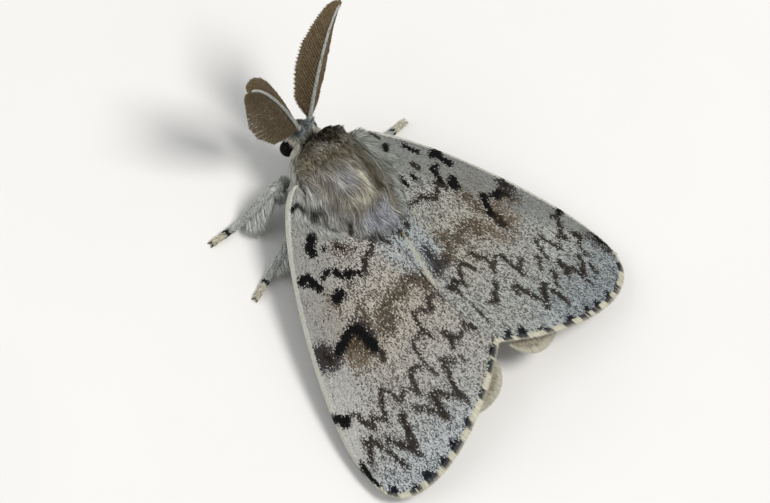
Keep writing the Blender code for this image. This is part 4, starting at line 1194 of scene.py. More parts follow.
def body_shell():
    """The forms of the flesh as one surface: joined, remeshed and smoothed. Returns its points and faces."""
    shape = bmesh.new()
    backs, turns = np.linspace(2, 178, 40), np.arange(48) * 7.5
    for centre, half, blunt in ((THORAX_CENTRE, THORAX_HALF, THORAX_BLUNT), (HEAD_MIDDLE, HEAD_CORE, 2.0)):
        rows = [ball_point(centre, half - SKIN_INSET, np.full(48, back), turns, blunt)[0] for back in backs]
        add_grid(shape, rows)
    shares = np.linspace(-0.06, 1.0, 90)
    rows = [abdomen_point(np.full(48, max(share, 0.0)), turns)[0] + (0, 12 * min(share, 0.0), 0)
            for share in shares]
    add_grid(shape, rows)
    for line, radii in LIMBS.values():
        add_tube(shape, line, radii)
    bmesh.ops.recalc_face_normals(shape, faces=shape.faces)
    mesh = bpy.data.meshes.new("shell")
    shape.to_mesh(mesh)
    shape.free()
    obj = placed("shell", mesh)
    remesh = obj.modifiers.new("remesh", "REMESH")
    remesh.mode = "VOXEL"
    remesh.voxel_size = 0.1
    soften = obj.modifiers.new("soften", "SMOOTH")
    soften.factor = 0.5
    soften.iterations = 4
    graph = bpy.context.evaluated_depsgraph_get()
    made = bpy.data.meshes.new_from_object(obj.evaluated_get(graph))
    points = np.empty(len(made.vertices) * 3, np.float32)
    made.vertices.foreach_get("co", points)
    faces = np.array([list(polygon.vertices) for polygon in made.polygons if len(polygon.vertices) == 4])
    bpy.data.objects.remove(obj)
    bpy.data.meshes.remove(mesh)
    bpy.data.meshes.remove(made)
    return points.reshape(-1, 3).astype(float), faces


# Corners of each form's patch on the OFBake map: low u, low v, high u, high v
FORM_PATCHES = {"thorax": (0.01, 0.01, 0.55, 0.42), "head": (0.57, 0.01, 0.77, 0.2),
                "abdomen": (0.57, 0.22, 0.99, 0.42),
                "neck": (0.79, 0.01, 0.88, 0.1), "palp_left": (0.79, 0.12, 0.88, 0.2),
                "palp_right": (0.9, 0.12, 0.99, 0.2)}


def limb_patches():
    """Adds a patch for every limb of the legs, in three rows."""
    names = [name for name in LIMBS if name.startswith("leg")]
    for i, name in enumerate(names):
        u, v = 0.01 + 0.163 * (i % 6), 0.44 + 0.187 * (i // 6)
        FORM_PATCHES[name] = (u, v, u + 0.15, v + 0.17)


limb_patches()


def unwrap(form, turn, along):
    """OFBake place of a point on a form: turn round it as a share, and share along it."""
    low_u, low_v, high_u, high_v = FORM_PATCHES[form]
    return np.stack([low_u + (high_u - low_u) * turn, low_v + (high_v - low_v) * along], axis=-1)


def turn_share(across, up):
    """The share of a turn from straight down, round through the side and top."""
    return (np.arctan2(across, up) / (2 * math.pi) + 0.5) % 1.0


def degree_share(turn):
    """The same share for a turn in degrees from the top."""
    return turn_share(np.sin(np.radians(turn)), np.cos(np.radians(turn)))


def limb_place(name, points):
    """Distance to a limb's surface, and the turn and share of points near it."""
    line, radii = LIMBS[name]
    best = np.full(len(points), 1e9)
    turn, along = np.zeros(len(points)), np.zeros(len(points))
    for i in range(len(line) - 1):
        reach = line[i + 1] - line[i]
        share = np.clip(((points - line[i]) @ reach) / max(reach @ reach, 1e-9), 0, 1)
        arm = points - line[i] - share[:, None] * reach
        far = np.linalg.norm(arm, axis=1) - radii[i]
        side = unit(np.cross(unit(reach), (0.02, 0.01, 1.0)))
        lift = np.cross(side, unit(reach))
        here = far < best
        best = np.where(here, far, best)
        turn = np.where(here, turn_share(arm @ side, arm @ lift), turn)
        along = np.where(here, (i + share) / (len(line) - 1), along)
    return best, turn, along


def form_places(points):
    """Names of the forms, the nearest one to each point, and each point's turn and share on every form."""
    names = ["thorax", "head", "abdomen"] + list(LIMBS)
    best, turns, alongs = [], [], []
    for centre, half, blunt in ((THORAX_CENTRE, THORAX_HALF, THORAX_BLUNT), (HEAD_MIDDLE, HEAD_CORE, 2.0)):
        size, _ = ball_size(centre, half, blunt, points)
        arm = points - centre
        best.append((size - 1) * half.min())
        turns.append(turn_share(arm[:, 0], arm[:, 2]))
        alongs.append(np.arccos(np.clip(-arm[:, 1] / half[1] / np.maximum(size, 1), -1, 1)) / math.pi)
    share = (points[:, 1] - ABDOMEN_FRONT_Y) / ABDOMEN_LENGTH
    height, radius = abdomen_ring(np.clip(share, 0, 1))
    best.append(np.hypot(points[:, 0], points[:, 2] - height) - radius + np.maximum(-share, 0) * 9)
    turns.append(turn_share(points[:, 0], points[:, 2] - height))
    alongs.append(np.clip(share, 0, 1))
    for name in LIMBS:
        far, turn, along = limb_place(name, points)
        best.append(far)
        turns.append(turn)
        alongs.append(along)
    return names, np.argmin(np.array(best), axis=0), np.array(turns), np.array(alongs)


def spot(points, centre, radius):
    """How near points of a plan are to a soft round spot, from 0 to 1."""
    return np.exp(-(((points[:, :2] - np.array(centre)) / radius) ** 2).sum(axis=1))


def streak(points, line, width):
    """How near points of a plan are to a soft line, from 0 to 1."""
    best = np.full(len(points), 9.0)
    for a, b in zip(np.array(line[:-1]), np.array(line[1:])):
        reach = b - a
        share = np.clip(((points[:, :2] - a) @ reach) / (reach @ reach), 0, 1)
        best = np.minimum(best, np.linalg.norm(points[:, :2] - a - share[:, None] * reach, axis=1))
    return np.exp(-((best / width) ** 2))


def beyond_thorax(x, y):
    """How far points of the plan lie behind the thorax's own coat, where its hair takes on the wing's tones."""
    left = y - (1.45 - 1.9 * np.maximum(x, 0))
    right = y - (1.0 - 0.55 * np.maximum(-x, 0) - 0.2 * np.maximum(-x, 0) ** 2)
    return np.where(x > 0, left / 2.1, right / 1.6)


def winged(tone, points):
    """Tone that passes into the forewing's own, marks and all, behind the thorax's coat."""
    side = np.where(points[:, 0] > 0, 1, -1)
    beyond = smooth(-0.2, 0.2, beyond_thorax(points[:, 0], points[:, 1])) * smooth(3.2, 3.7, points[:, 2])
    for way, marks in ((1, MARKS_LEFT), (-1, MARKS_RIGHT)):
        here = (side == way) & (beyond > 0)
        if not here.any():
            continue
        plan = points[here, :2] * (way, 1)
        wing = ground_tone(way, plan) * 0.9
        covers = mark_cover(marks, plan, 0.0)
        for kind in ("brown", "dark", "black"):
            wing = mix(wing, MARK_TONES[kind], np.clip(covers[kind], 0, 1))
        tone[here] = mix(tone[here], wing, beyond[here])
    return tone


def thorax_tone(points):
    """Tone of the thorax's coat by its plan: dark collar, gold band, grey hair, cream crest, lilac rear."""
    x, y, z = points.T
    gold = np.exp(-(((y + 0.42 * x + 6.0) / 0.5) ** 2))
    collar = -6.2 - 1.5 * np.maximum(x + 0.66, 0) - 1.1 * np.maximum(-0.66 - x, 0)
    fleck = smooth(0.56, 0.7, noise(points, (0.13, 0.2, 0.2), 91))
    flecked = mix(HAIR["collar"], HAIR["collar fleck"], fleck)
    layers = (
        (HAIR["right flank"], smooth(-1.4, -2.4, x)),
        (HAIR["right front"], 0.8 * smooth(-6.2, -7.0, y) * smooth(-0.9, -1.6, x)),
        (HAIR["left front"], 0.8 * smooth(-6.9, -7.4, y) * smooth(0.0, 0.6, x)),
        (HAIR["shade"], 0.8 * streak(points, THORAX_SHADE, 0.6)),
        (HAIR["gold"], 0.85 * gold * smooth(-1.6, -0.8, x)),
        (flecked, smooth(0.25, -0.3, y - collar) * smooth(-2.4, -1.6, x)),
        (HAIR["white spot"], spot(points, (0.85, -4.3), 0.6)),
        (HAIR["crest"], 0.85 * streak(points, THORAX_CREST, 0.27)),
        (HAIR["furrow"], 0.8 * streak(points, THORAX_FURROW, 0.25)),
        (HAIR["rear"], 0.85 * smooth(-2.0, -1.4, y) * smooth(1.7, 0.9, np.abs(x - 0.4))),
        (HAIR["crest spot"], spot(points, (0.56, -4.05), 0.17)),
        (HAIR["rear spot"], spot(points, (0.7, -0.95), 0.2)),
        (HAIR["left shoulder"], smooth(2.25, 2.75, x) * smooth(-3.0, -4.2, y)),
        (HAIR["side"], np.maximum(smooth(4.5, 3.9, z), smooth(2.2, 2.5, x) * smooth(-6.0, -6.6, y))),
    )
    tone = np.tile(HAIR["thorax"], (len(points), 1))
    for layer, cover in layers:
        tone = mix(tone, layer, cover)
    return winged(tone, points)


def head_tone(points):
    """Tone of the head's hair: grey on its crown, dark behind it, cream round the eyes, brown below."""
    x, y, z = points.T
    inner = smooth(0.62, 0.42, np.abs(x))
    nape = smooth(-8.72, -8.5, y - 0.18 * x) * smooth(4.0, 4.5, z) * inner
    tone = mix(HAIR["face"], HAIR["crown"], smooth(4.3, 4.9, z) * inner)
    return mix(mix(tone, HAIR["nape"], nape), HAIR["chin"], 0.6 * smooth(3.7, 3.3, z))


def abdomen_tone(points):
    """Buff tone of the abdomen, browner along its back."""
    back = smooth(0.2, 1.0, points[:, 2] - 2.4)
    share = (points[:, 1] - ABDOMEN_FRONT_Y) / ABDOMEN_LENGTH
    ring = 0.5 + 0.5 * np.sin(2 * math.pi * ABDOMEN_RINGS * share)
    return mix(HAIR["abdomen"], HAIR["abdomen back"], back) * (0.82 + 0.24 * ring)[:, None]


def limb_tone(name, share):
    """Tone along a limb: brown palps, and white legs with a black band and a cream tip on each foot."""
    if name.startswith("palp"):
        return mix(HAIR["palp"], HAIR["palp tip"], smooth(0.3, 0.9, share))
    tone = np.tile(HAIR["leg"], (len(share), 1))
    if name.endswith("tarsus"):
        first = 0.61 if "fore" in name else 0.5
        band = smooth(first, first + 0.03, share) * smooth(first + 0.16, first + 0.13, share)
        tone = mix(tone, HAIR["foot"], smooth(first + 0.1, first + 0.2, share))
        tone = mix(tone, HAIR["foot band"], band)
    return tone


def body_tone(points, names, nearest, alongs):
    """Tone of the skin at each of its points, the same as its coat's."""
    tones = np.zeros((len(points), 3))
    for number, name in enumerate(names):
        here = nearest == number
        if name in ("thorax", "neck"):
            tones[here] = thorax_tone(points[here])
        elif name == "head":
            tones[here] = head_tone(points[here])
        elif name == "abdomen":
            tones[here] = abdomen_tone(points[here])
        else:
            tones[here] = limb_tone(name, alongs[number, here])
    return tones


def make_skin():
    """One skin for thorax, head, abdomen, palps and legs, which stands for their solids."""
    points, faces = body_shell()
    names, nearest, turns, alongs = form_places(points)
    tones = body_tone(points, names, nearest, alongs) * 0.75
    form = nearest[faces[:, 0]]
    turn = turns[form[:, None], faces]
    turn = turn[:, :1] + (turn - turn[:, :1] + 0.5) % 1.0 - 0.5
    along = alongs[form[:, None], faces]
    corners = np.array([FORM_PATCHES[name] for name in names])[form]
    u = corners[:, 0:1] + (corners[:, 2:3] - corners[:, 0:1]) * turn
    v = corners[:, 1:2] + (corners[:, 3:4] - corners[:, 1:2]) * along
    places = np.stack([u, v], axis=-1).reshape(-1, 2)
    material = coat_material("body_skin", 0.75, 0.06, sheen=0.3, bump=0.6, strength=0.3,
                             stretch=(1.0, 0.3, 1.0))
    skin = make_piece("body_skin", points, faces, tones, places, material, "thorax")
    legs = [f"leg_{label}_{part}" for label in LEGS for part in ("femur", "tibia", "tarsus")]
    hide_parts("thorax", "head", "abdomen", "palp_left", "palp_right", *legs)


def hair_piece(name, paths, radii, over, tones, places, material, slot, flat=0.7, root=0.6, tip=1.15,
               sides=3):
    """A coat piece of closed spikes along paths. tones has one per spike, or one per step of each."""
    points, faces, share, across = spikes(paths, radii, over, flat, sides)
    if tones.ndim == 3:
        tones = tones[:, np.round(share * (paths.shape[1] - 1)).astype(int)]
    return make_piece(name, points, faces, shaded(tones, share, root, tip), patches(places, share, across),
                      material, slot)


def tapered(steps, thick):
    """Radii along a hair: fine at the root, full at a third, drawn out to its tip."""
    share = np.linspace(0, 1, steps)
    shape = np.minimum(0.7 + share, 1.0) * (1 - share**2.2 * 0.85)
    return thick[:, None] * shape[None]


def gathered(paths, roots, lock_paths, lock_roots, pull):
    """Hair paths drawn towards the nearest lock's path, more so at their tips, and the lock of each."""
    far = (roots**2).sum(1)[:, None] - 2 * roots @ lock_roots.T + (lock_roots**2).sum(1)[None]
    lock = np.argmin(far, axis=1)
    steps = paths.shape[1]
    share = pull * np.linspace(0, 1, steps)[None, :, None] ** 1.3
    return paths * (1 - share) + lock_paths[lock] * share, lock


def drape(x, y):
    """Height of the thorax core or of the wings' roof, whichever is higher, with a soft join."""
    along = np.clip(np.abs((y - THORAX_CENTRE[1]) / THORAX_HALF[1]), 0, 1)
    out = (1 - along**THORAX_BLUNT) ** (1 / THORAX_BLUNT)
    high = out**2 - (x / THORAX_HALF[0]) ** 2
    core = THORAX_CENTRE[2] + THORAX_HALF[2] * np.sqrt(np.clip(high, 0, None))
    wings = np.where(y > -6.6 + 0.12 * np.abs(x), roof(x, y), THORAX_CENTRE[2])
    return (core + wings + np.sqrt((core - wings) ** 2 + 0.12)) / 2 - 0.06


def top_paths(back, turn, length, sway, lifts):
    """Paths of the long hair on the thorax's back: from the core backwards, over it and onto the wings."""
    place, normal = ball_point(THORAX_CENTRE, THORAX_HALF, back, turn, THORAX_BLUNT)
    x, y = place[:, 0].copy(), place[:, 1].copy()
    paths = [place - normal * 0.08]
    for step, lift in zip((0.2, 0.28, 0.28, 0.24), lifts):
        wavy = 1.3 * (noise(np.stack([x, y], axis=1), (0.45, 0.7), 77) - 0.5)
        out = np.stack([0.13 * x + sway + wavy, np.ones_like(x)], axis=1)
        out = out / np.linalg.norm(out, axis=1)[:, None]
        slope = (drape(x + out[:, 0] * 0.06, y + out[:, 1] * 0.06) - drape(x, y)) / 0.06
        level = length * step / np.sqrt(1 + np.clip(slope, -2.5, 2.5) ** 2)
        x, y = x + out[:, 0] * level, y + out[:, 1] * level
        floor = drape(x, y)
        steep = np.sqrt(1 + np.clip(slope, -2.5, 2.5) ** 2)
        paths.append(np.stack([x, y, floor + lift * steep], axis=1))
    return np.stack(paths, axis=1)


def side_paths(back, turn, length, sway, lifts):
    """Paths of the hair low on the thorax: back along its sides and breast, under the wings."""
    place, normal = ball_point(THORAX_CENTRE, THORAX_HALF, back, turn, THORAX_BLUNT)
    paths = [place - normal * 0.08]
    for step, lift in zip((0.3, 0.36, 0.34), lifts):
        flow = np.stack([0.15 * place[:, 0] + sway, np.ones(len(place)), np.full(len(place), -0.3)], axis=1)
        flow = unit(flow - normal * (flow * normal).sum(1)[:, None] * 0.95)
        moved = place + flow * (length * step)[:, None]
        place, normal = on_ball_again(THORAX_CENTRE, THORAX_HALF, THORAX_BLUNT, moved)
        point = place + normal * lift[:, None]
        under = roof(point[:, 0], point[:, 1]) - SHEET - 0.1
        point[:, 2] = np.where(point[:, 1] > -6.5, np.minimum(point[:, 2], under), point[:, 2])
        paths.append(point)
    return np.stack(paths, axis=1)


def lock_hair(name, hairs, angles, path_of, length_of, lift_of, thick, pull, chance, material,
              pale=(0.14, 0.06)):
    """Hair of one part of the thorax, in locks.

    angles gives the lowest and highest angle back and turn. pale gives the share of pale hairs, and how much
    cream they get.
    """
    count, locks = hairs
    (low_back, high_back), (low_turn, high_turn) = angles

    def surface(u, v):
        return ball_point(THORAX_CENTRE, THORAX_HALF, low_back + (high_back - low_back) * u,
                          low_turn + (high_turn - low_turn) * v, THORAX_BLUNT)[0]

    def grow(number, spread):
        u, v = scatter(surface, number, chance)
        back, turn = low_back + (high_back - low_back) * u, low_turn + (high_turn - low_turn) * v
        root, normal = ball_point(THORAX_CENTRE, THORAX_HALF, back, turn, THORAX_BLUNT)
        length = length_of(root) * chance.uniform(0.75, 1.15, number)
        sway = 0.55 * (noise(root, (0.9, 0.9, 0.9), 31) - 0.5) + chance.normal(0, spread, number)
        level = chance.uniform(0.3, 1.0, number)
        lifts = [lift_of(root) * level * share for share in (0.45, 0.85, 1.0, 0.45)]
        return root, normal, back, turn, path_of(back, turn, length, sway, lifts)

    root, normal, back, turn, paths = grow(count, 0.08)
    lock_root, _, _, _, lock_path = grow(locks, 0.16)
    paths, lock = gathered(paths, root, lock_path, lock_root, pull)
    lock_level = chance.uniform(0.7, 1.3, locks)[lock]
    level = (lock_level * chance.uniform(0.72, 1.36, count))[:, None, None]
    tones = thorax_tone(paths.reshape(-1, 3)).reshape(paths.shape) * level
    odd = chance.random(count)[:, None, None]
    lit = np.where(odd > 1 - pale[0], tones * 1.4 + pale[1] * CREAM, tones)
    tones = np.where(odd < 0.12, tones * 0.45, lit)
    places = unwrap("thorax", degree_share(turn), back / 180)
    radii = tapered(paths.shape[1], thick * chance.uniform(0.7, 1.25, count))
    hair_piece(name, paths, radii, normal, tones, places, material, "thorax")


def make_thorax_coat(material):
    """The thorax's coat: the long hair of the back in two pieces, a short collar, and both sides."""
    chance = np.random.default_rng(SEED + 101)

    def long_hair(root):
        x = np.abs(root[:, 0]) * 1.12
        rear = 1.5 - np.where(root[:, 0] > 0, 0.64, 0.52) * x**1.65 + 0.8 * (noise(root, (0.4, 0.4, 0.4), 53)
                - 0.5)
        length = 0.75 + 1.35 * smooth(-7.4, -5.6, root[:, 1])
        return np.clip(np.minimum(length, rear - root[:, 1]), 0.3, None)

    def long_lift(root):
        front = smooth(-5.4, -6.6, root[:, 1]) * smooth(-0.4, -1.3, root[:, 0])
        behind = smooth(-3.4, -1.8, root[:, 1] + 0.4 * np.abs(root[:, 0]))
        return 0.29 + 0.6 * front - 0.1 * behind

    def side_lift(root):
        return 0.3 + 0.5 * smooth(-5.4, -6.4, root[:, 1]) * (root[:, 0] < 0)

    def collar_lift(root):
        right = smooth(-1.6, -2.1, root[:, 0]) * smooth(-6.0, -6.4, root[:, 1])
        return 0.5 + 0.42 * smooth(0.6, -0.6, root[:, 0]) - 0.15 * right

    for label, turns in (("left", (-4, 94)), ("right", (-94, 4))):
        lock_hair(f"thorax_coat_{label}", BACK_HAIRS, ((14, 150), turns), top_paths, long_hair, long_lift,
                  0.028, 0.45, chance, material)
    lock_hair("thorax_collar", COLLAR_HAIRS, ((4, 54), (-100, 100)), top_paths,
              lambda root: np.full(len(root), 0.75), collar_lift, 0.027, 0.45, chance, material, (0.26, 0.17))
    for label, turns in (("left", (74, 180)), ("right", (-180, -74))):
        lock_hair(f"thorax_side_{label}", SIDE_HAIRS, ((16, 158), turns), side_paths,
                  lambda root: np.full(len(root), 1.15), side_lift, 0.034, 0.55, chance, material)


def make_wing_base_hair(material):
    """Long pale hair on the foot of each forewing, which carries the wing's first marks."""
    for label, side in SIDES.items():
        chance = np.random.default_rng(SEED + 150 + side)
        count, locks = BASE_HAIRS
        share = 0.02 + 0.18 * chance.random(count) ** 1.2
        place = 0.1 + 0.88 * chance.random(count)
        root, ahead, normal = surface_frame(fore_top, side, share, place)
        length = (1.35 - 3.6 * share) * chance.uniform(0.65, 1.1, count)
        plan = root[:, :2] * (side, 1)
        sway = 0.7 * (noise(plan, (0.5, 0.9), 43) - 0.5) + chance.normal(0, 0.07, count)
        way = unit(ahead + np.cross(normal, ahead) * sway[:, None])
        lift = chance.uniform(0.03, 0.15, count) * (1 - 3.5 * share)
        rises = (-0.03, 0.5, 0.95, 1.0, 0.75)
        paths = []
        for step, rise in zip((0.0, 0.22, 0.48, 0.75, 1.0), rises):
            point = root + way * (length * step)[:, None]
            point[:, 2] = roof(point[:, 0], point[:, 1]) - 0.08
            paths.append(point + normal * (lift * rise)[:, None])
        paths = np.stack(paths, axis=1)
        lock = chance.choice(count, locks, replace=False)
        paths, number = gathered(paths, root, paths[lock], root[lock], 0.45)
        level = chance.uniform(0.8, 1.2, locks)[number] * chance.uniform(0.72, 1.35, count)
        level = np.where(chance.random(count) < 0.1, level * 0.45, level)
        tones = HAIR[f"{label} base"] * np.repeat(level, 5)[:, None]
        marks = MARKS_LEFT if side > 0 else MARKS_RIGHT
        cover = mark_cover(marks, paths.reshape(-1, 3)[:, :2] * (side, 1), 0.0)
        for kind in ("dark", "black"):
            tones = mix(tones, MARK_TONES[kind], np.clip(1.2 * cover[kind], 0, 1))
        tones = tones.reshape(paths.shape)
        places = wing_unwrap(plan) * COAT_ON_MAP
        radii = tapered(5, chance.uniform(0.022, 0.036, count))
        hair_piece(f"forewing_{label}_base", paths, radii, normal, tones, places, material, "forewing")


def clear_of_eyes(paths):
    """Which paths stay outside both eyes."""
    clear = np.ones(len(paths), bool)
    for side in SIDES.values():
        far = np.linalg.norm(paths - EYE_PLACE * (side, 1, 1), axis=2)
        clear &= far.min(axis=1) > EYE_RADIUS + 0.015
    return clear


def make_head_coat(material):
    """Short hair over the face, the crown and round the eyes."""
    chance = np.random.default_rng(SEED + 201)
    count, locks = HEAD_HAIRS

    def surface(u, v):
        return ball_point(HEAD_MIDDLE, HEAD_CORE, 4 + 150 * u, -180 + 360 * v)[0]

    u, v = scatter(surface, count, chance)
    back, turn = 4 + 150 * u, -180 + 360 * v
    place, normal = ball_point(HEAD_MIDDLE, HEAD_CORE, back, turn)
    root = place.copy()
    crown = smooth(4.55, 4.95, root[:, 2])
    length = chance.uniform(0.35, 0.6, count) * (1 + 0.7 * crown)
    rearward = smooth(-9.4, -8.95, root[:, 1]) * crown + smooth(-8.8, -8.2, root[:, 1]) * (1 - crown)
    lean = np.stack([0.35 * root[:, 0] + 0.3 * crown + chance.normal(0, 0.2, count) * (1 + 1.4 * crown),
                     -0.75 + 1.7 * rearward, -0.55 + 0.55 * crown], axis=1)
    paths = [place - normal * 0.06]
    high = chance.uniform(0.4, 1.15, count) * (1 + 0.5 * crown * rearward)
    for step, lift in zip((0.3, 0.35, 0.35), (0.08, 0.16, 0.2)):
        flow = unit(lean - normal * (lean * normal).sum(1)[:, None] * 0.8)
        place, normal = on_ball_again(HEAD_MIDDLE, HEAD_CORE, 2.0, place + flow * (length * step)[:, None])
        paths.append(place + normal * (lift * high)[:, None])
    paths = np.stack(paths, axis=1)
    lock = chance.choice(count, locks, replace=False)
    paths, number = gathered(paths, root, paths[lock], root[lock], 0.5)
    keep = clear_of_eyes(paths)
    level = chance.uniform(0.5, 1.5, (count, 1)) * chance.uniform(0.6, 1.3, (locks, 1))[number]
    tones = head_tone(root) * level
    places = unwrap("head", degree_share(turn), back / 180)
    _, normal = ball_point(HEAD_MIDDLE, HEAD_CORE, back, turn)
    radii = tapered(4, chance.uniform(0.018, 0.028, count))
    hair_piece("head_coat", paths[keep], radii[keep], normal[keep], tones[keep], places[keep], material,
               "head")


def make_foot_tufts(material):
    """A ruffled sleeve of pale hair at the foot of each antenna."""
    chance = np.random.default_rng(SEED + 211)
    for label, side in SIDES.items():
        count = SLEEVE_HAIRS
        foot = np.array(SHAFT[0]) * (side, 1, 1)
        inside = SHAFT_INSIDE * (side, 1, 1)
        share = chance.uniform(0.15, 0.95, count)
        turn = chance.uniform(0, 2 * math.pi, count)
        along = unit(foot - inside)
        first = unit(np.cross(along, (0.1, 1.0, 0.0)))
        out = first * np.cos(turn)[:, None] + np.cross(along, first) * np.sin(turn)[:, None]
        root = inside + (foot - inside) * share[:, None] + out * 0.12
        length = chance.uniform(0.25, 0.55, count)
        drift = chance.normal(0, 0.3, (count, 3)) + (0.25, 0.45, 0.0)
        away = out * 0.45 + drift * (1.1 - share)[:, None]
        paths = []
        for step, rise in zip((0.0, 0.33, 0.67, 1.0), (0.0, 0.45, 0.8, 1.0)):
            paths.append(root + along * (length * step)[:, None] + away * (length * rise * 0.8)[:, None])
        paths = np.stack(paths, axis=1)
        tones = HAIR["sleeve"] * chance.uniform(0.4, 1.4, (count, 1))
        places = unwrap("head", turn / (2 * math.pi), 0.3 + 0.1 * share)
        radii = tapered(4, chance.uniform(0.018, 0.026, count))
        hair_piece(f"antenna_{label}_foot", paths, radii, out, tones, places, material, "head")


def bow(start, middle, end, share):
    """Points of a three-handle curve at these shares."""
    return start * (1 - share) ** 2 + middle * 2 * share * (1 - share) + end * share**2


def brow_paths(side, count, chance):
    """Hair that leans out from the crown over the inner rim of an eye."""
    y = chance.uniform(-9.15, -8.05, count)
    x = chance.uniform(0.45, 0.8, count)
    inner = 1 - (x / HEAD_CORE[0]) ** 2 - ((y - HEAD_MIDDLE[1]) / HEAD_CORE[1]) ** 2
    root = np.stack([x, y, HEAD_MIDDLE[2] + HEAD_CORE[2] * np.sqrt(np.clip(inner, 0.05, None))], axis=1)
    tip = np.stack([1.22 + chance.normal(0, 0.06, count), y + 0.22 + chance.normal(0, 0.09, count),
                    4.70 + chance.normal(0, 0.03, count) - 0.35 * np.abs(y + 8.5)], axis=1)
    reach = chance.uniform(0.7, 1.0, count)[:, None]
    middle = (root + tip) / 2 + (0, 0, 0.12)
    paths = [bow(root, middle, tip, step * reach) for step in (0.0, 0.33, 0.67, 1.0)]
    return np.stack(paths, axis=1) * (side, 1, 1), root


def cheek_paths(side, count, chance):
    """Hair that springs from behind an eye, over its rear rim and down the front of the shoulder."""
    low = chance.random(count)[:, None]
    jitter = chance.normal(0, 0.04, (count, 4, 3)) + chance.normal(0, 0.1, (count, 1, 3))
    upper, lower = np.array(CHEEK_UPPER), np.array(CHEEK_LOWER)
    handles = upper[None] * (1 - low[:, :, None]) + lower[None] * low[:, :, None] + jitter
    reach = chance.uniform(0.4, 0.8, count)
    paths = [bezier(handles.swapaxes(0, 1), reach * step) for step in (0.0, 0.25, 0.5, 0.75, 1.0)]
    return np.stack(paths, axis=1) * (side, 1, 1), handles[:, 0]


def make_eye_hair(material):
    """Cream hair that frames each eye: a brow over its inner rim and a brush behind it."""
    chance = np.random.default_rng(SEED + 221)
    for label, side in SIDES.items():
        for kind, count, grow in (("brow", BROW_HAIRS, brow_paths), ("cheek", CHEEK_HAIRS, cheek_paths)):
            paths, root = grow(side, count, chance)
            keep = clear_of_eyes(paths)
            tones = HAIR["eye frame"] * chance.uniform(0.6, 1.3, (count, 1))
            dusk = chance.random(count)[:, None] < 0.12
            tones = np.where(dusk, tones * 0.3, tones)
            arm = root - HEAD_MIDDLE
            along = np.clip(0.5 + 0.5 * arm[:, 1], 0.05, 0.95)
            places = unwrap("head", turn_share(arm[:, 0] * side, arm[:, 2]), along)
            radii = tapered(paths.shape[1], chance.uniform(0.018, 0.027, count))
            over = np.tile((0.3 * side, 0.2, 1.0), (count, 1))
            hair_piece(f"head_{kind}_{label}", paths[keep], radii[keep], over[keep], tones[keep],
                       places[keep],
                       material, "head")


def make_abdomen_hair(chance, material):
    """Hair along the abdomen in rings."""
    count = ABDOMEN_HAIRS

    def surface(u, v):
        return abdomen_point(0.1 + 0.88 * u, 360 * v - 180)[0]

    u, v = scatter(surface, count, chance)
    share, turn = 0.1 + 0.88 * u, 360 * v - 180
    root, out = abdomen_point(share, turn)
    length = chance.uniform(0.55, 0.95, count)
    sway = chance.normal(0, 0.1, count)
    side = np.stack([np.cos(np.radians(turn)), np.zeros(count), -np.sin(np.radians(turn))], axis=1)
    lift = chance.uniform(0.05, 0.16, count)
    paths = []
    for step, rise in ((0.0, -0.06), (0.33, 0.5), (0.67, 0.9), (1.0, 1.0)):
        whole = share + length * step / ABDOMEN_LENGTH
        ahead = np.minimum(whole, 1.0)
        place, _ = abdomen_point(ahead, turn)
        place[:, 1] += (whole - ahead) * ABDOMEN_LENGTH
        paths.append(place + out * (lift * rise)[:, None] + side * (sway * length * step)[:, None])
    paths = np.stack(paths, axis=1)
    tones = abdomen_tone(root) * chance.uniform(0.65, 1.4, (count, 1))
    places = unwrap("abdomen", degree_share(turn), share)
    radii = tapered(4, chance.uniform(0.032, 0.05, count))
    hair_piece("abdomen_coat", paths, radii, out, tones, places, material, "abdomen")


def make_abdomen_tail(chance, material):
    """The tuft at the end of the abdomen."""
    count = TAIL_HAIRS
    turn = chance.uniform(0, 360, count)
    deep = np.sqrt(chance.random(count))
    out = np.stack([np.sin(np.radians(turn)), np.zeros(count), np.cos(np.radians(turn))], axis=1)
    root = np.array((0, ABDOMEN_REAR_Y - 0.45, 2.23)) + out * (0.45 * deep)[:, None]
    root[:, 1] -= 0.7 * deep**3 * chance.random(count)
    length = chance.uniform(0.95, 1.45, count)
    way = unit(np.array((0, 1.0, -0.06)) + out * (0.16 * deep)[:, None] + chance.normal(0, 0.06, (count, 3)))
    paths = []
    for step in (0, 0.3, 0.65, 1.0):
        paths.append(root + way * (length * step)[:, None] - out * (0.12 * deep * step**3)[:, None])
    paths = np.stack(paths, axis=1)
    tones = HAIR["tail"] * chance.uniform(0.6, 1.4, (count, 1))
    places = unwrap("abdomen", turn / 360, 0.92 + 0.05 * deep)
    radii = tapered(4, chance.uniform(0.028, 0.042, count))
    hair_piece("abdomen_tail", paths, radii, out, tones, places, material, "abdomen")


def make_abdomen_coat(material):
    """The abdomen's hair and the tuft at its end."""
    chance = np.random.default_rng(SEED + 301)
    make_abdomen_hair(chance, material)
    make_abdomen_tail(chance, material)


def along_limb(name, share, turn):
    """Points, directions and outward normals on a limb at shares along it and turns round it."""
    line, radii = LIMBS[name]
    spot_at = share * (len(line) - 1)
    low = np.clip(spot_at.astype(int), 0, len(line) - 2)
    part = (spot_at - low)[:, None]
    centre = line[low] * (1 - part) + line[low + 1] * part
    radius = radii[low] * (1 - part[:, 0]) + radii[low + 1] * part[:, 0]
    along = unit(line[low + 1] - line[low])
    side = unit(np.cross(along, (0.02, 0.01, 1.0)))
    lift = np.cross(side, along)
    out = side * np.sin(turn)[:, None] + lift * np.cos(turn)[:, None]
    return centre + out * radius[:, None], along, out, radius


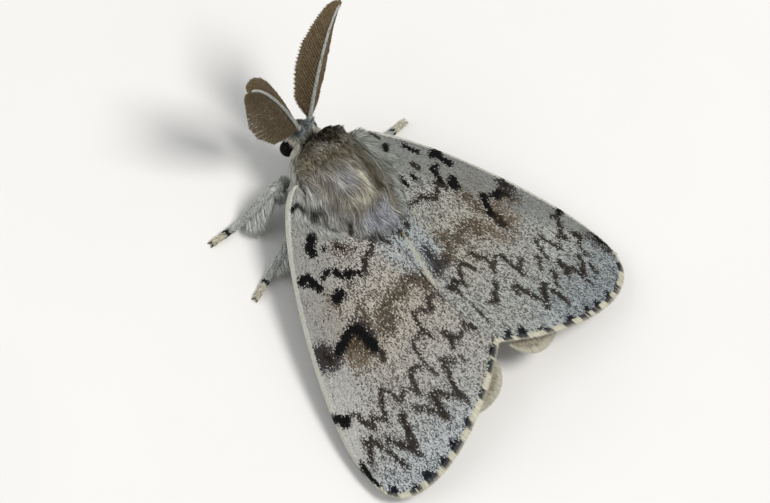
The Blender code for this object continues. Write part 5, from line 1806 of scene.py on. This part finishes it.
def limb_coat(name, count, chance):
    """Short flat hair that sheathes one limb. Returns its arrays for the piece."""
    low = 0.3 if name.endswith("femur") else 0.0
    share = low + (1 - low) * chance.random(count)
    turn = chance.uniform(-math.pi, math.pi, count)
    root, along, out, _ = along_limb(name, share, turn)
    length = chance.uniform(0.22, 0.42, count) * (0.75 if name.endswith("tarsus") else 1.0)
    if name.startswith("palp"):
        length = length * 1.5
    swing = np.cross(out, along) * chance.normal(0, 0.18, (count, 1))
    way = unit(along + swing)
    lift = chance.uniform(0.02, 0.075, count)
    paths = np.stack([root - out * 0.02, root + way * (length * 0.5)[:, None] + out * (lift * 0.8)[:, None],
                      root + way * length[:, None] + out * lift[:, None]], axis=1)
    paths[:, :, 2] = np.maximum(paths[:, :, 2], 0.02)
    level = chance.uniform(0.72, 1.25, (count, 1))
    tones = limb_tone(name, np.clip(share + chance.normal(0, 0.015, count), 0, 1)) * level
    places = unwrap(name, (turn / (2 * math.pi) + 0.5) % 1.0, share)
    return paths, tapered(3, chance.uniform(0.028, 0.042, count)), out, tones, places


def limb_tuft(name, count, longest, chance, low=0.1, high=0.97):
    """Long soft hair that hangs from the back edge of a limb. Returns its arrays for the piece."""
    side = 1 if "left" in name else -1
    share = low + (high - low) * chance.random(count)
    back = unit(TUFT_LIE * (side, 1, 1))
    middle, along, _, radius = along_limb(name, share, np.zeros(count))
    centre = middle - unit(np.cross(unit(np.cross(along, (0.02, 0.01, 1.0))), along)) * radius[:, None]
    spread = chance.normal(0, 0.34, (count, 1))
    over = unit(np.cross(np.tile(back, (count, 1)), along))
    lie = unit(back + over * spread + along * (0.12 + chance.normal(0, 0.1, (count, 1))))
    root = centre + lie * (radius * 0.7)[:, None]
    grown = (share - low) / (high - low)
    length = longest * (0.5 + 0.5 * np.sin(math.pi * np.clip(grown * 1.02, 0, 1))) * chance.uniform(0.6, 1.0,
            count)
    wave = chance.normal(0, 0.05, (count, 3))
    paths = []
    for step in (0.0, 0.3, 0.65, 1.0):
        sag = np.zeros((count, 3))
        sag[:, 2] = -0.1 * length * step**2
        paths.append(root + lie * (length * step)[:, None] + sag + wave * math.sin(step * 5)
                     * length[:, None])
    paths = np.stack(paths, axis=1)
    paths[:, :, 2] = np.maximum(paths[:, :, 2], 0.06)
    tones = limb_tone(name.replace("tarsus", "tibia"), share) * chance.uniform(0.8, 1.3, (count, 1)) * 1.05
    places = unwrap(name, np.full(count, 0.5) + chance.uniform(-0.2, 0.2, count), share)
    return paths, tapered(4, chance.uniform(0.02, 0.032, count)), over, tones, places


def joined(parts):
    """Arrays of several coats of one kind, end to end."""
    return [np.concatenate(arrays) for arrays in zip(*parts)]


def make_leg_coats(material):
    """The sheath of short hair on every leg and palp, and the tufts on the legs."""
    chance = np.random.default_rng(SEED + 401)
    for label in LEGS:
        place = label.split("_")[0]
        short = [limb_coat(f"leg_{label}_{part}", number, chance) for part, number in LIMB_HAIRS.items()]
        hair_piece(f"leg_{label}_coat", *joined(short), material, "leg")
        shin, thigh = TIBIA_TUFT[place], FEMUR_TUFT[place]
        long = [limb_tuft(f"leg_{label}_tibia", int(TUFT_HAIRS["tibia"] * shin), shin, chance),
                limb_tuft(f"leg_{label}_femur", int(TUFT_HAIRS["femur"] * thigh), thigh, chance, 0.55, 0.98)]
        hair_piece(f"leg_{label}_tuft", *joined(long), material, "leg", root=0.8, tip=1.1)
    for label in SIDES:
        hair_piece(f"palp_{label}_coat", *limb_coat(f"palp_{label}", PALP_HAIRS, chance), material, "head")


def make_claws(material):
    """Two dark claws on each foot."""
    share = np.linspace(0, 1, 7)
    for label in LEGS:
        _, _, _, (_, _, ankle, toe) = leg_joints(label)
        flat = np.array((toe[0], toe[1], TARSUS_AXLE))
        onward = unit(np.array((toe[0] - ankle[0], toe[1] - ankle[1], 0.0)))
        across = np.cross(onward, (0, 0, 1.0))
        paths = []
        for way in (-1, 1):
            root = flat + onward * 0.05 + across * 0.09 * way
            tip = flat + onward * CLAW_LENGTH + across * 0.19 * way
            middle = (root + tip) / 2 + (0, 0, 0.1)
            tip[2] = 0.03
            paths.append(bow(root, middle, tip, share[:, None]))
        radii = 0.055 * np.tile(np.sqrt(1 - share**1.5), (2, 1)) + 0.006
        tones = np.tile(HAIR["claw"], (2, 1))
        places = unwrap(f"leg_{label}_tarsus", np.array((0.3, 0.7)), np.array((0.98, 0.98)))
        over = np.tile((0, 0, 1.0), (2, 1))
        hair_piece(f"leg_{label}_claws", np.stack(paths), radii, over, tones, places, material, "leg",
                   flat=1.0, root=1.2, tip=0.5, sides=8)


def make_eyes():
    """Two glossy round eyes, finer than their solids."""
    material = eye_material()
    for label, side in SIDES.items():
        shape = bmesh.new()
        bmesh.ops.create_icosphere(shape, subdivisions=5, radius=EYE_RADIUS)
        points = np.array([tuple(vertex.co) for vertex in shape.verts])
        faces = np.array([[vertex.index for vertex in face.verts] for face in shape.faces])
        shape.free()
        turn = np.arctan2(points[:, 0], points[:, 2]) / (2 * math.pi) + 0.5
        places = np.stack([turn, np.arccos(np.clip(points[:, 1] / EYE_RADIUS, -1, 1)) / math.pi], axis=1)
        loops = places[faces]
        loops[:, :, 0] = loops[:, :1, 0] + (loops[:, :, 0] - loops[:, :1, 0] + 0.5) % 1.0 - 0.5
        tones = np.tile(EYE_TONE, (len(points), 1))
        centre = EYE_PLACE * (side, 1, 1)
        eye = make_piece(f"eye_{label}_ball", points + centre, faces, tones, loops.reshape(-1, 2), material,
                         "eye")
        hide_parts(f"eye_{label}")


def ramus_share(share):
    """Length of a ramus against the longest one, from the foot of the shaft to its tip."""
    return np.minimum(0.72 + 1.5 * share, 1.0) * (1 - 0.93 * np.maximum(share - 0.36, 0) / 0.64) ** 0.8


def rami_of(side, row):
    """Paths of one row of rami, directions onward along the shaft and out, and shares along it."""
    opening, sweep_foot, sweep_tip, longest = RAMI_ROWS[row]
    handles = np.array(SHAFT) * (side, 1, 1)
    share = 0.02 + 0.96 * np.arange(RAMI_PER_ROW) / (RAMI_PER_ROW - 1)
    root = bezier(handles, share)
    onward = unit(bezier(handles, share + 0.01) - bezier(handles, share - 0.01))
    opening = np.array(opening) * (side, 1, 1)
    out = unit(opening - onward * (onward @ opening)[:, None])
    sweep = np.radians(sweep_foot + (sweep_tip - sweep_foot) * share)[:, None]
    way = onward * np.cos(sweep) + out * np.sin(sweep)
    length = longest * ramus_share(share)
    steps = np.linspace(0, 1, 9)[None, :, None]
    paths = root[:, None] + length[:, None, None] * (way[:, None] * steps + onward[:, None] * 0.1 * steps**3)
    return paths, onward, way, share


def shaft_radius(share):
    """Radius of an antenna's shaft at shares from foot to tip."""
    return SHAFT_RADIUS + (SHAFT_TIP_RADIUS - SHAFT_RADIUS) * share**0.8


def make_shaft(label, side, material):
    """The shaft of one antenna, which stands for its solid."""
    steps = np.linspace(0, 1, 64)
    curve = bezier(np.array(SHAFT) * (side, 1, 1), steps)
    path = np.concatenate([(SHAFT_INSIDE * (side, 1, 1))[None], curve])[None]
    radii = shaft_radius(np.append(0.0, steps))[None]
    over = np.array(((0.2 * side, -0.5, -0.6),))
    shaft = hair_piece(f"antenna_{label}_shaft", path, radii, over, HAIR["shaft"][None],
                       np.array(((0.5, 0.5),)),
                       material, "antenna", flat=0.75, root=1.0, tip=0.9, sides=12)
    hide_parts(f"antenna_{label}")


def make_shaft_scales(label, side, chance, material):
    """Scales along one shaft, pale on its outer side and brown where the rami spring."""
    count = SHAFT_SCALES
    handles = np.array(SHAFT) * (side, 1, 1)
    share, turn = chance.random(count) * 0.98, chance.uniform(0, 2 * math.pi, count)
    line = bezier(handles, share)
    along = unit(bezier(handles, share + 0.01) - bezier(handles, share - 0.01))
    over = unit(np.cross(along, (side, 0.0, 0.0)))
    out = over * np.cos(turn)[:, None] + np.cross(along, over) * np.sin(turn)[:, None]
    open_side = unit((np.array(RAMI_ROWS[0][0]) + np.array(RAMI_ROWS[1][0])) * (side, 1, 1))
    pale = smooth(0.35, -0.25, out @ open_side)
    tones = mix(HAIR["shaft brown"], HAIR["shaft pale"], pale) * chance.uniform(0.75, 1.25, (count, 1))
    root = line + out * (shaft_radius(share) * 0.9)[:, None]
    length = chance.uniform(0.16, 0.24, count)
    width = chance.uniform(0.06, 0.09, count)
    rise = chance.uniform(0.015, 0.03, count)
    points, faces, grown, across = kites(root, along, out, length, width, rise)
    places = patches(np.stack([share * 0.98, turn / (2 * math.pi)], axis=1), grown, across)
    make_piece(f"antenna_{label}_scales", points, faces, shaded(tones, grown), places, material, "antenna",
               False)


def ramus_hairs(row, paths, onward, way, over, places, chance):
    """Fine hairs on both flanks of every ramus in a row. Returns their arrays for the piece."""
    half = RAMUS_HAIRS // 2
    number = np.repeat(np.arange(len(paths)), RAMUS_HAIRS)
    place = np.tile((np.arange(half) + 0.5) / half, len(paths) * 2)
    flank = np.tile(np.repeat((-1.0, 1.0), half), len(paths))
    step = np.clip((place * 8).astype(int), 0, 7)
    part = (place * 8 - step)[:, None]
    root = paths[number, step] * (1 - part) + paths[number, step + 1] * part
    aside = unit(onward[number] - way[number] * (onward[number] * way[number]).sum(1)[:, None])
    lean = over[number] * chance.normal(0.0, 0.22, (len(number), 1))
    lie = unit(aside * flank[:, None] + way[number] * 0.75 + lean)
    near = 1.0 if row == 0 else 0.75 + 0.25 * smooth(0.15, 0.5, place)
    long = RAMUS_HAIR_LENGTH * near * (1 - 0.35 * place**3) * chance.uniform(0.8, 1.15, len(number))
    strand = np.stack([root, root + lie * long[:, None]], axis=1)
    tones = HAIR["ramus hair"] * chance.uniform(0.6, 1.35, (len(number), 1))
    return strand, np.full((len(number), 2), RAMUS_HAIR_RADIUS), over[number], tones, places[number]


def make_comb(label, side, chance, horn, fine):
    """Two rows of rami and the fine hairs between them."""
    parts, hairs = [], []
    for row in (0, 1):
        paths, onward, way, share = rami_of(side, row)
        paths = paths + chance.normal(0, 0.012, (len(paths), 1, 3)) * np.linspace(0, 1, 9)[None, :, None]
        tones = HAIR["ramus"] * chance.uniform(0.75, 1.25, (len(paths), 1))
        radii = tapered(9, np.full(len(paths), 0.043)) + 0.006
        places = np.stack([share * 0.97, np.full(len(paths), 0.25 + 0.5 * row)], axis=1)
        over = unit(np.cross(way, onward))
        parts.append((paths, radii, over, tones, places))
        hairs.append(ramus_hairs(row, paths, onward, way, over, places, chance))
    hair_piece(f"antenna_{label}_rami", *joined(parts), horn, "antenna", flat=1.0, root=0.8, tip=1.2, sides=5)
    hair_piece(f"antenna_{label}_hairs", *joined(hairs), fine, "antenna", flat=1.0, root=0.9, tip=1.1)


def make_antenna(label, side, horn, fine):
    """One antenna: a scaled shaft, two rows of rami and the fine hairs that fill the comb."""
    chance = np.random.default_rng(SEED + 500 + side)
    make_shaft(label, side, horn)
    make_shaft_scales(label, side, chance, fine)
    make_comb(label, side, chance, horn, fine)


# Camera: the direction from the moth to it, and the image's right and up, in the moth's frame
TO_CAMERA = np.array((0.5, 0.0, 0.866))
IMAGE_RIGHT = np.array((-0.612, 0.707, 0.354))
IMAGE_UP = np.array((-0.612, -0.707, 0.354))
AIM = IMAGE_RIGHT * 1.147 - IMAGE_UP * 0.073
CAMERA_DISTANCE = 800.0
FRAME_WIDTH = 51.33
SENSOR = 36.0


def make_camera():
    """The camera at the photo's angle, turned so that the moth lies across the frame as it does there."""
    data = bpy.data.cameras.new("camera")
    data.sensor_width = SENSOR
    data.lens = SENSOR * CAMERA_DISTANCE / FRAME_WIDTH
    data.clip_start = 0.01
    data.clip_end = 10.0
    obj = placed("camera", data)
    back = unit(TO_CAMERA)
    right = unit(IMAGE_RIGHT - back * (IMAGE_RIGHT @ back))
    up = np.cross(back, right)
    turn = np.array((right, up, back)).T
    place = (AIM + SHIFT + back * CAMERA_DISTANCE) * MM
    obj.matrix_world = Matrix([[*turn[row], place[row]] for row in range(3)] + [[0, 0, 0, 1]])
    bpy.context.scene.camera = obj


def add_light(name, towards, distance, size, power, colour):
    """A square soft light that faces the moth from that direction."""
    data = bpy.data.lights.new(name, "AREA")
    data.size = size
    data.energy = power
    data.color = colour
    obj = placed(name, data)
    way = Vector(towards).normalized()
    obj.location = way * distance
    obj.rotation_euler = way.to_track_quat("Z", "Y").to_euler()


def make_stage():
    """A plain pale floor, soft lights and a pale surround."""
    mesh = bpy.data.meshes.new("floor")
    half = 0.6
    mesh.from_pydata([(-half, -half, 0), (half, -half, 0), (half, half, 0), (-half, half, 0)], [],
                     [(0, 1, 2, 3)])
    floor = placed("floor", mesh)
    made, tree, shader = new_material("floor")
    where = wire(tree, "ShaderNodeTexCoord")
    cloud = wire(tree, "ShaderNodeTexNoise", Vector=where.outputs["Object"], Scale=60.0, Detail=3.0)
    feed(tree, shader, Base_Color=tone_between(tree, cloud.outputs["Fac"], *FLOOR_TONES), Roughness=0.9)
    mesh.materials.append(made)
    add_light("key", (-0.15, 0.25, 1.0), 0.35, 0.14, 0.88, (1.0, 0.985, 0.96))
    add_light("fill", (1.0, -0.9, 0.8), 0.4, 0.3, 0.66, (0.98, 0.99, 1.0))
    world = bpy.data.worlds.new("surround")
    bpy.context.scene.world = world
    world.use_nodes = True
    sky = world.node_tree.nodes["Background"]
    sky.inputs["Color"].default_value = (0.93, 0.96, 1.0, 1)
    sky.inputs["Strength"].default_value = 0.42
    bpy.context.scene.view_settings.view_transform = "Standard"


def main():
    """Builds every piece."""
    make_camera()
    make_stage()
    make_wings()
    make_skin()
    make_eyes()
    fur = coat_material("fur", 0.6, 0.05, sheen=0.05, bump=0.15, strength=0.12)
    make_thorax_coat(fur)
    make_wing_base_hair(fur)
    make_head_coat(fur)
    make_foot_tufts(fur)
    make_eye_hair(fur)
    make_abdomen_coat(fur)
    make_leg_coats(fur)
    horn = coat_material("antenna_horn", 0.5, 0.04, sheen=0.1, bump=0.2, strength=0.25)
    make_claws(horn)
    for label, side in SIDES.items():
        make_antenna(label, side, horn, fur)


main()
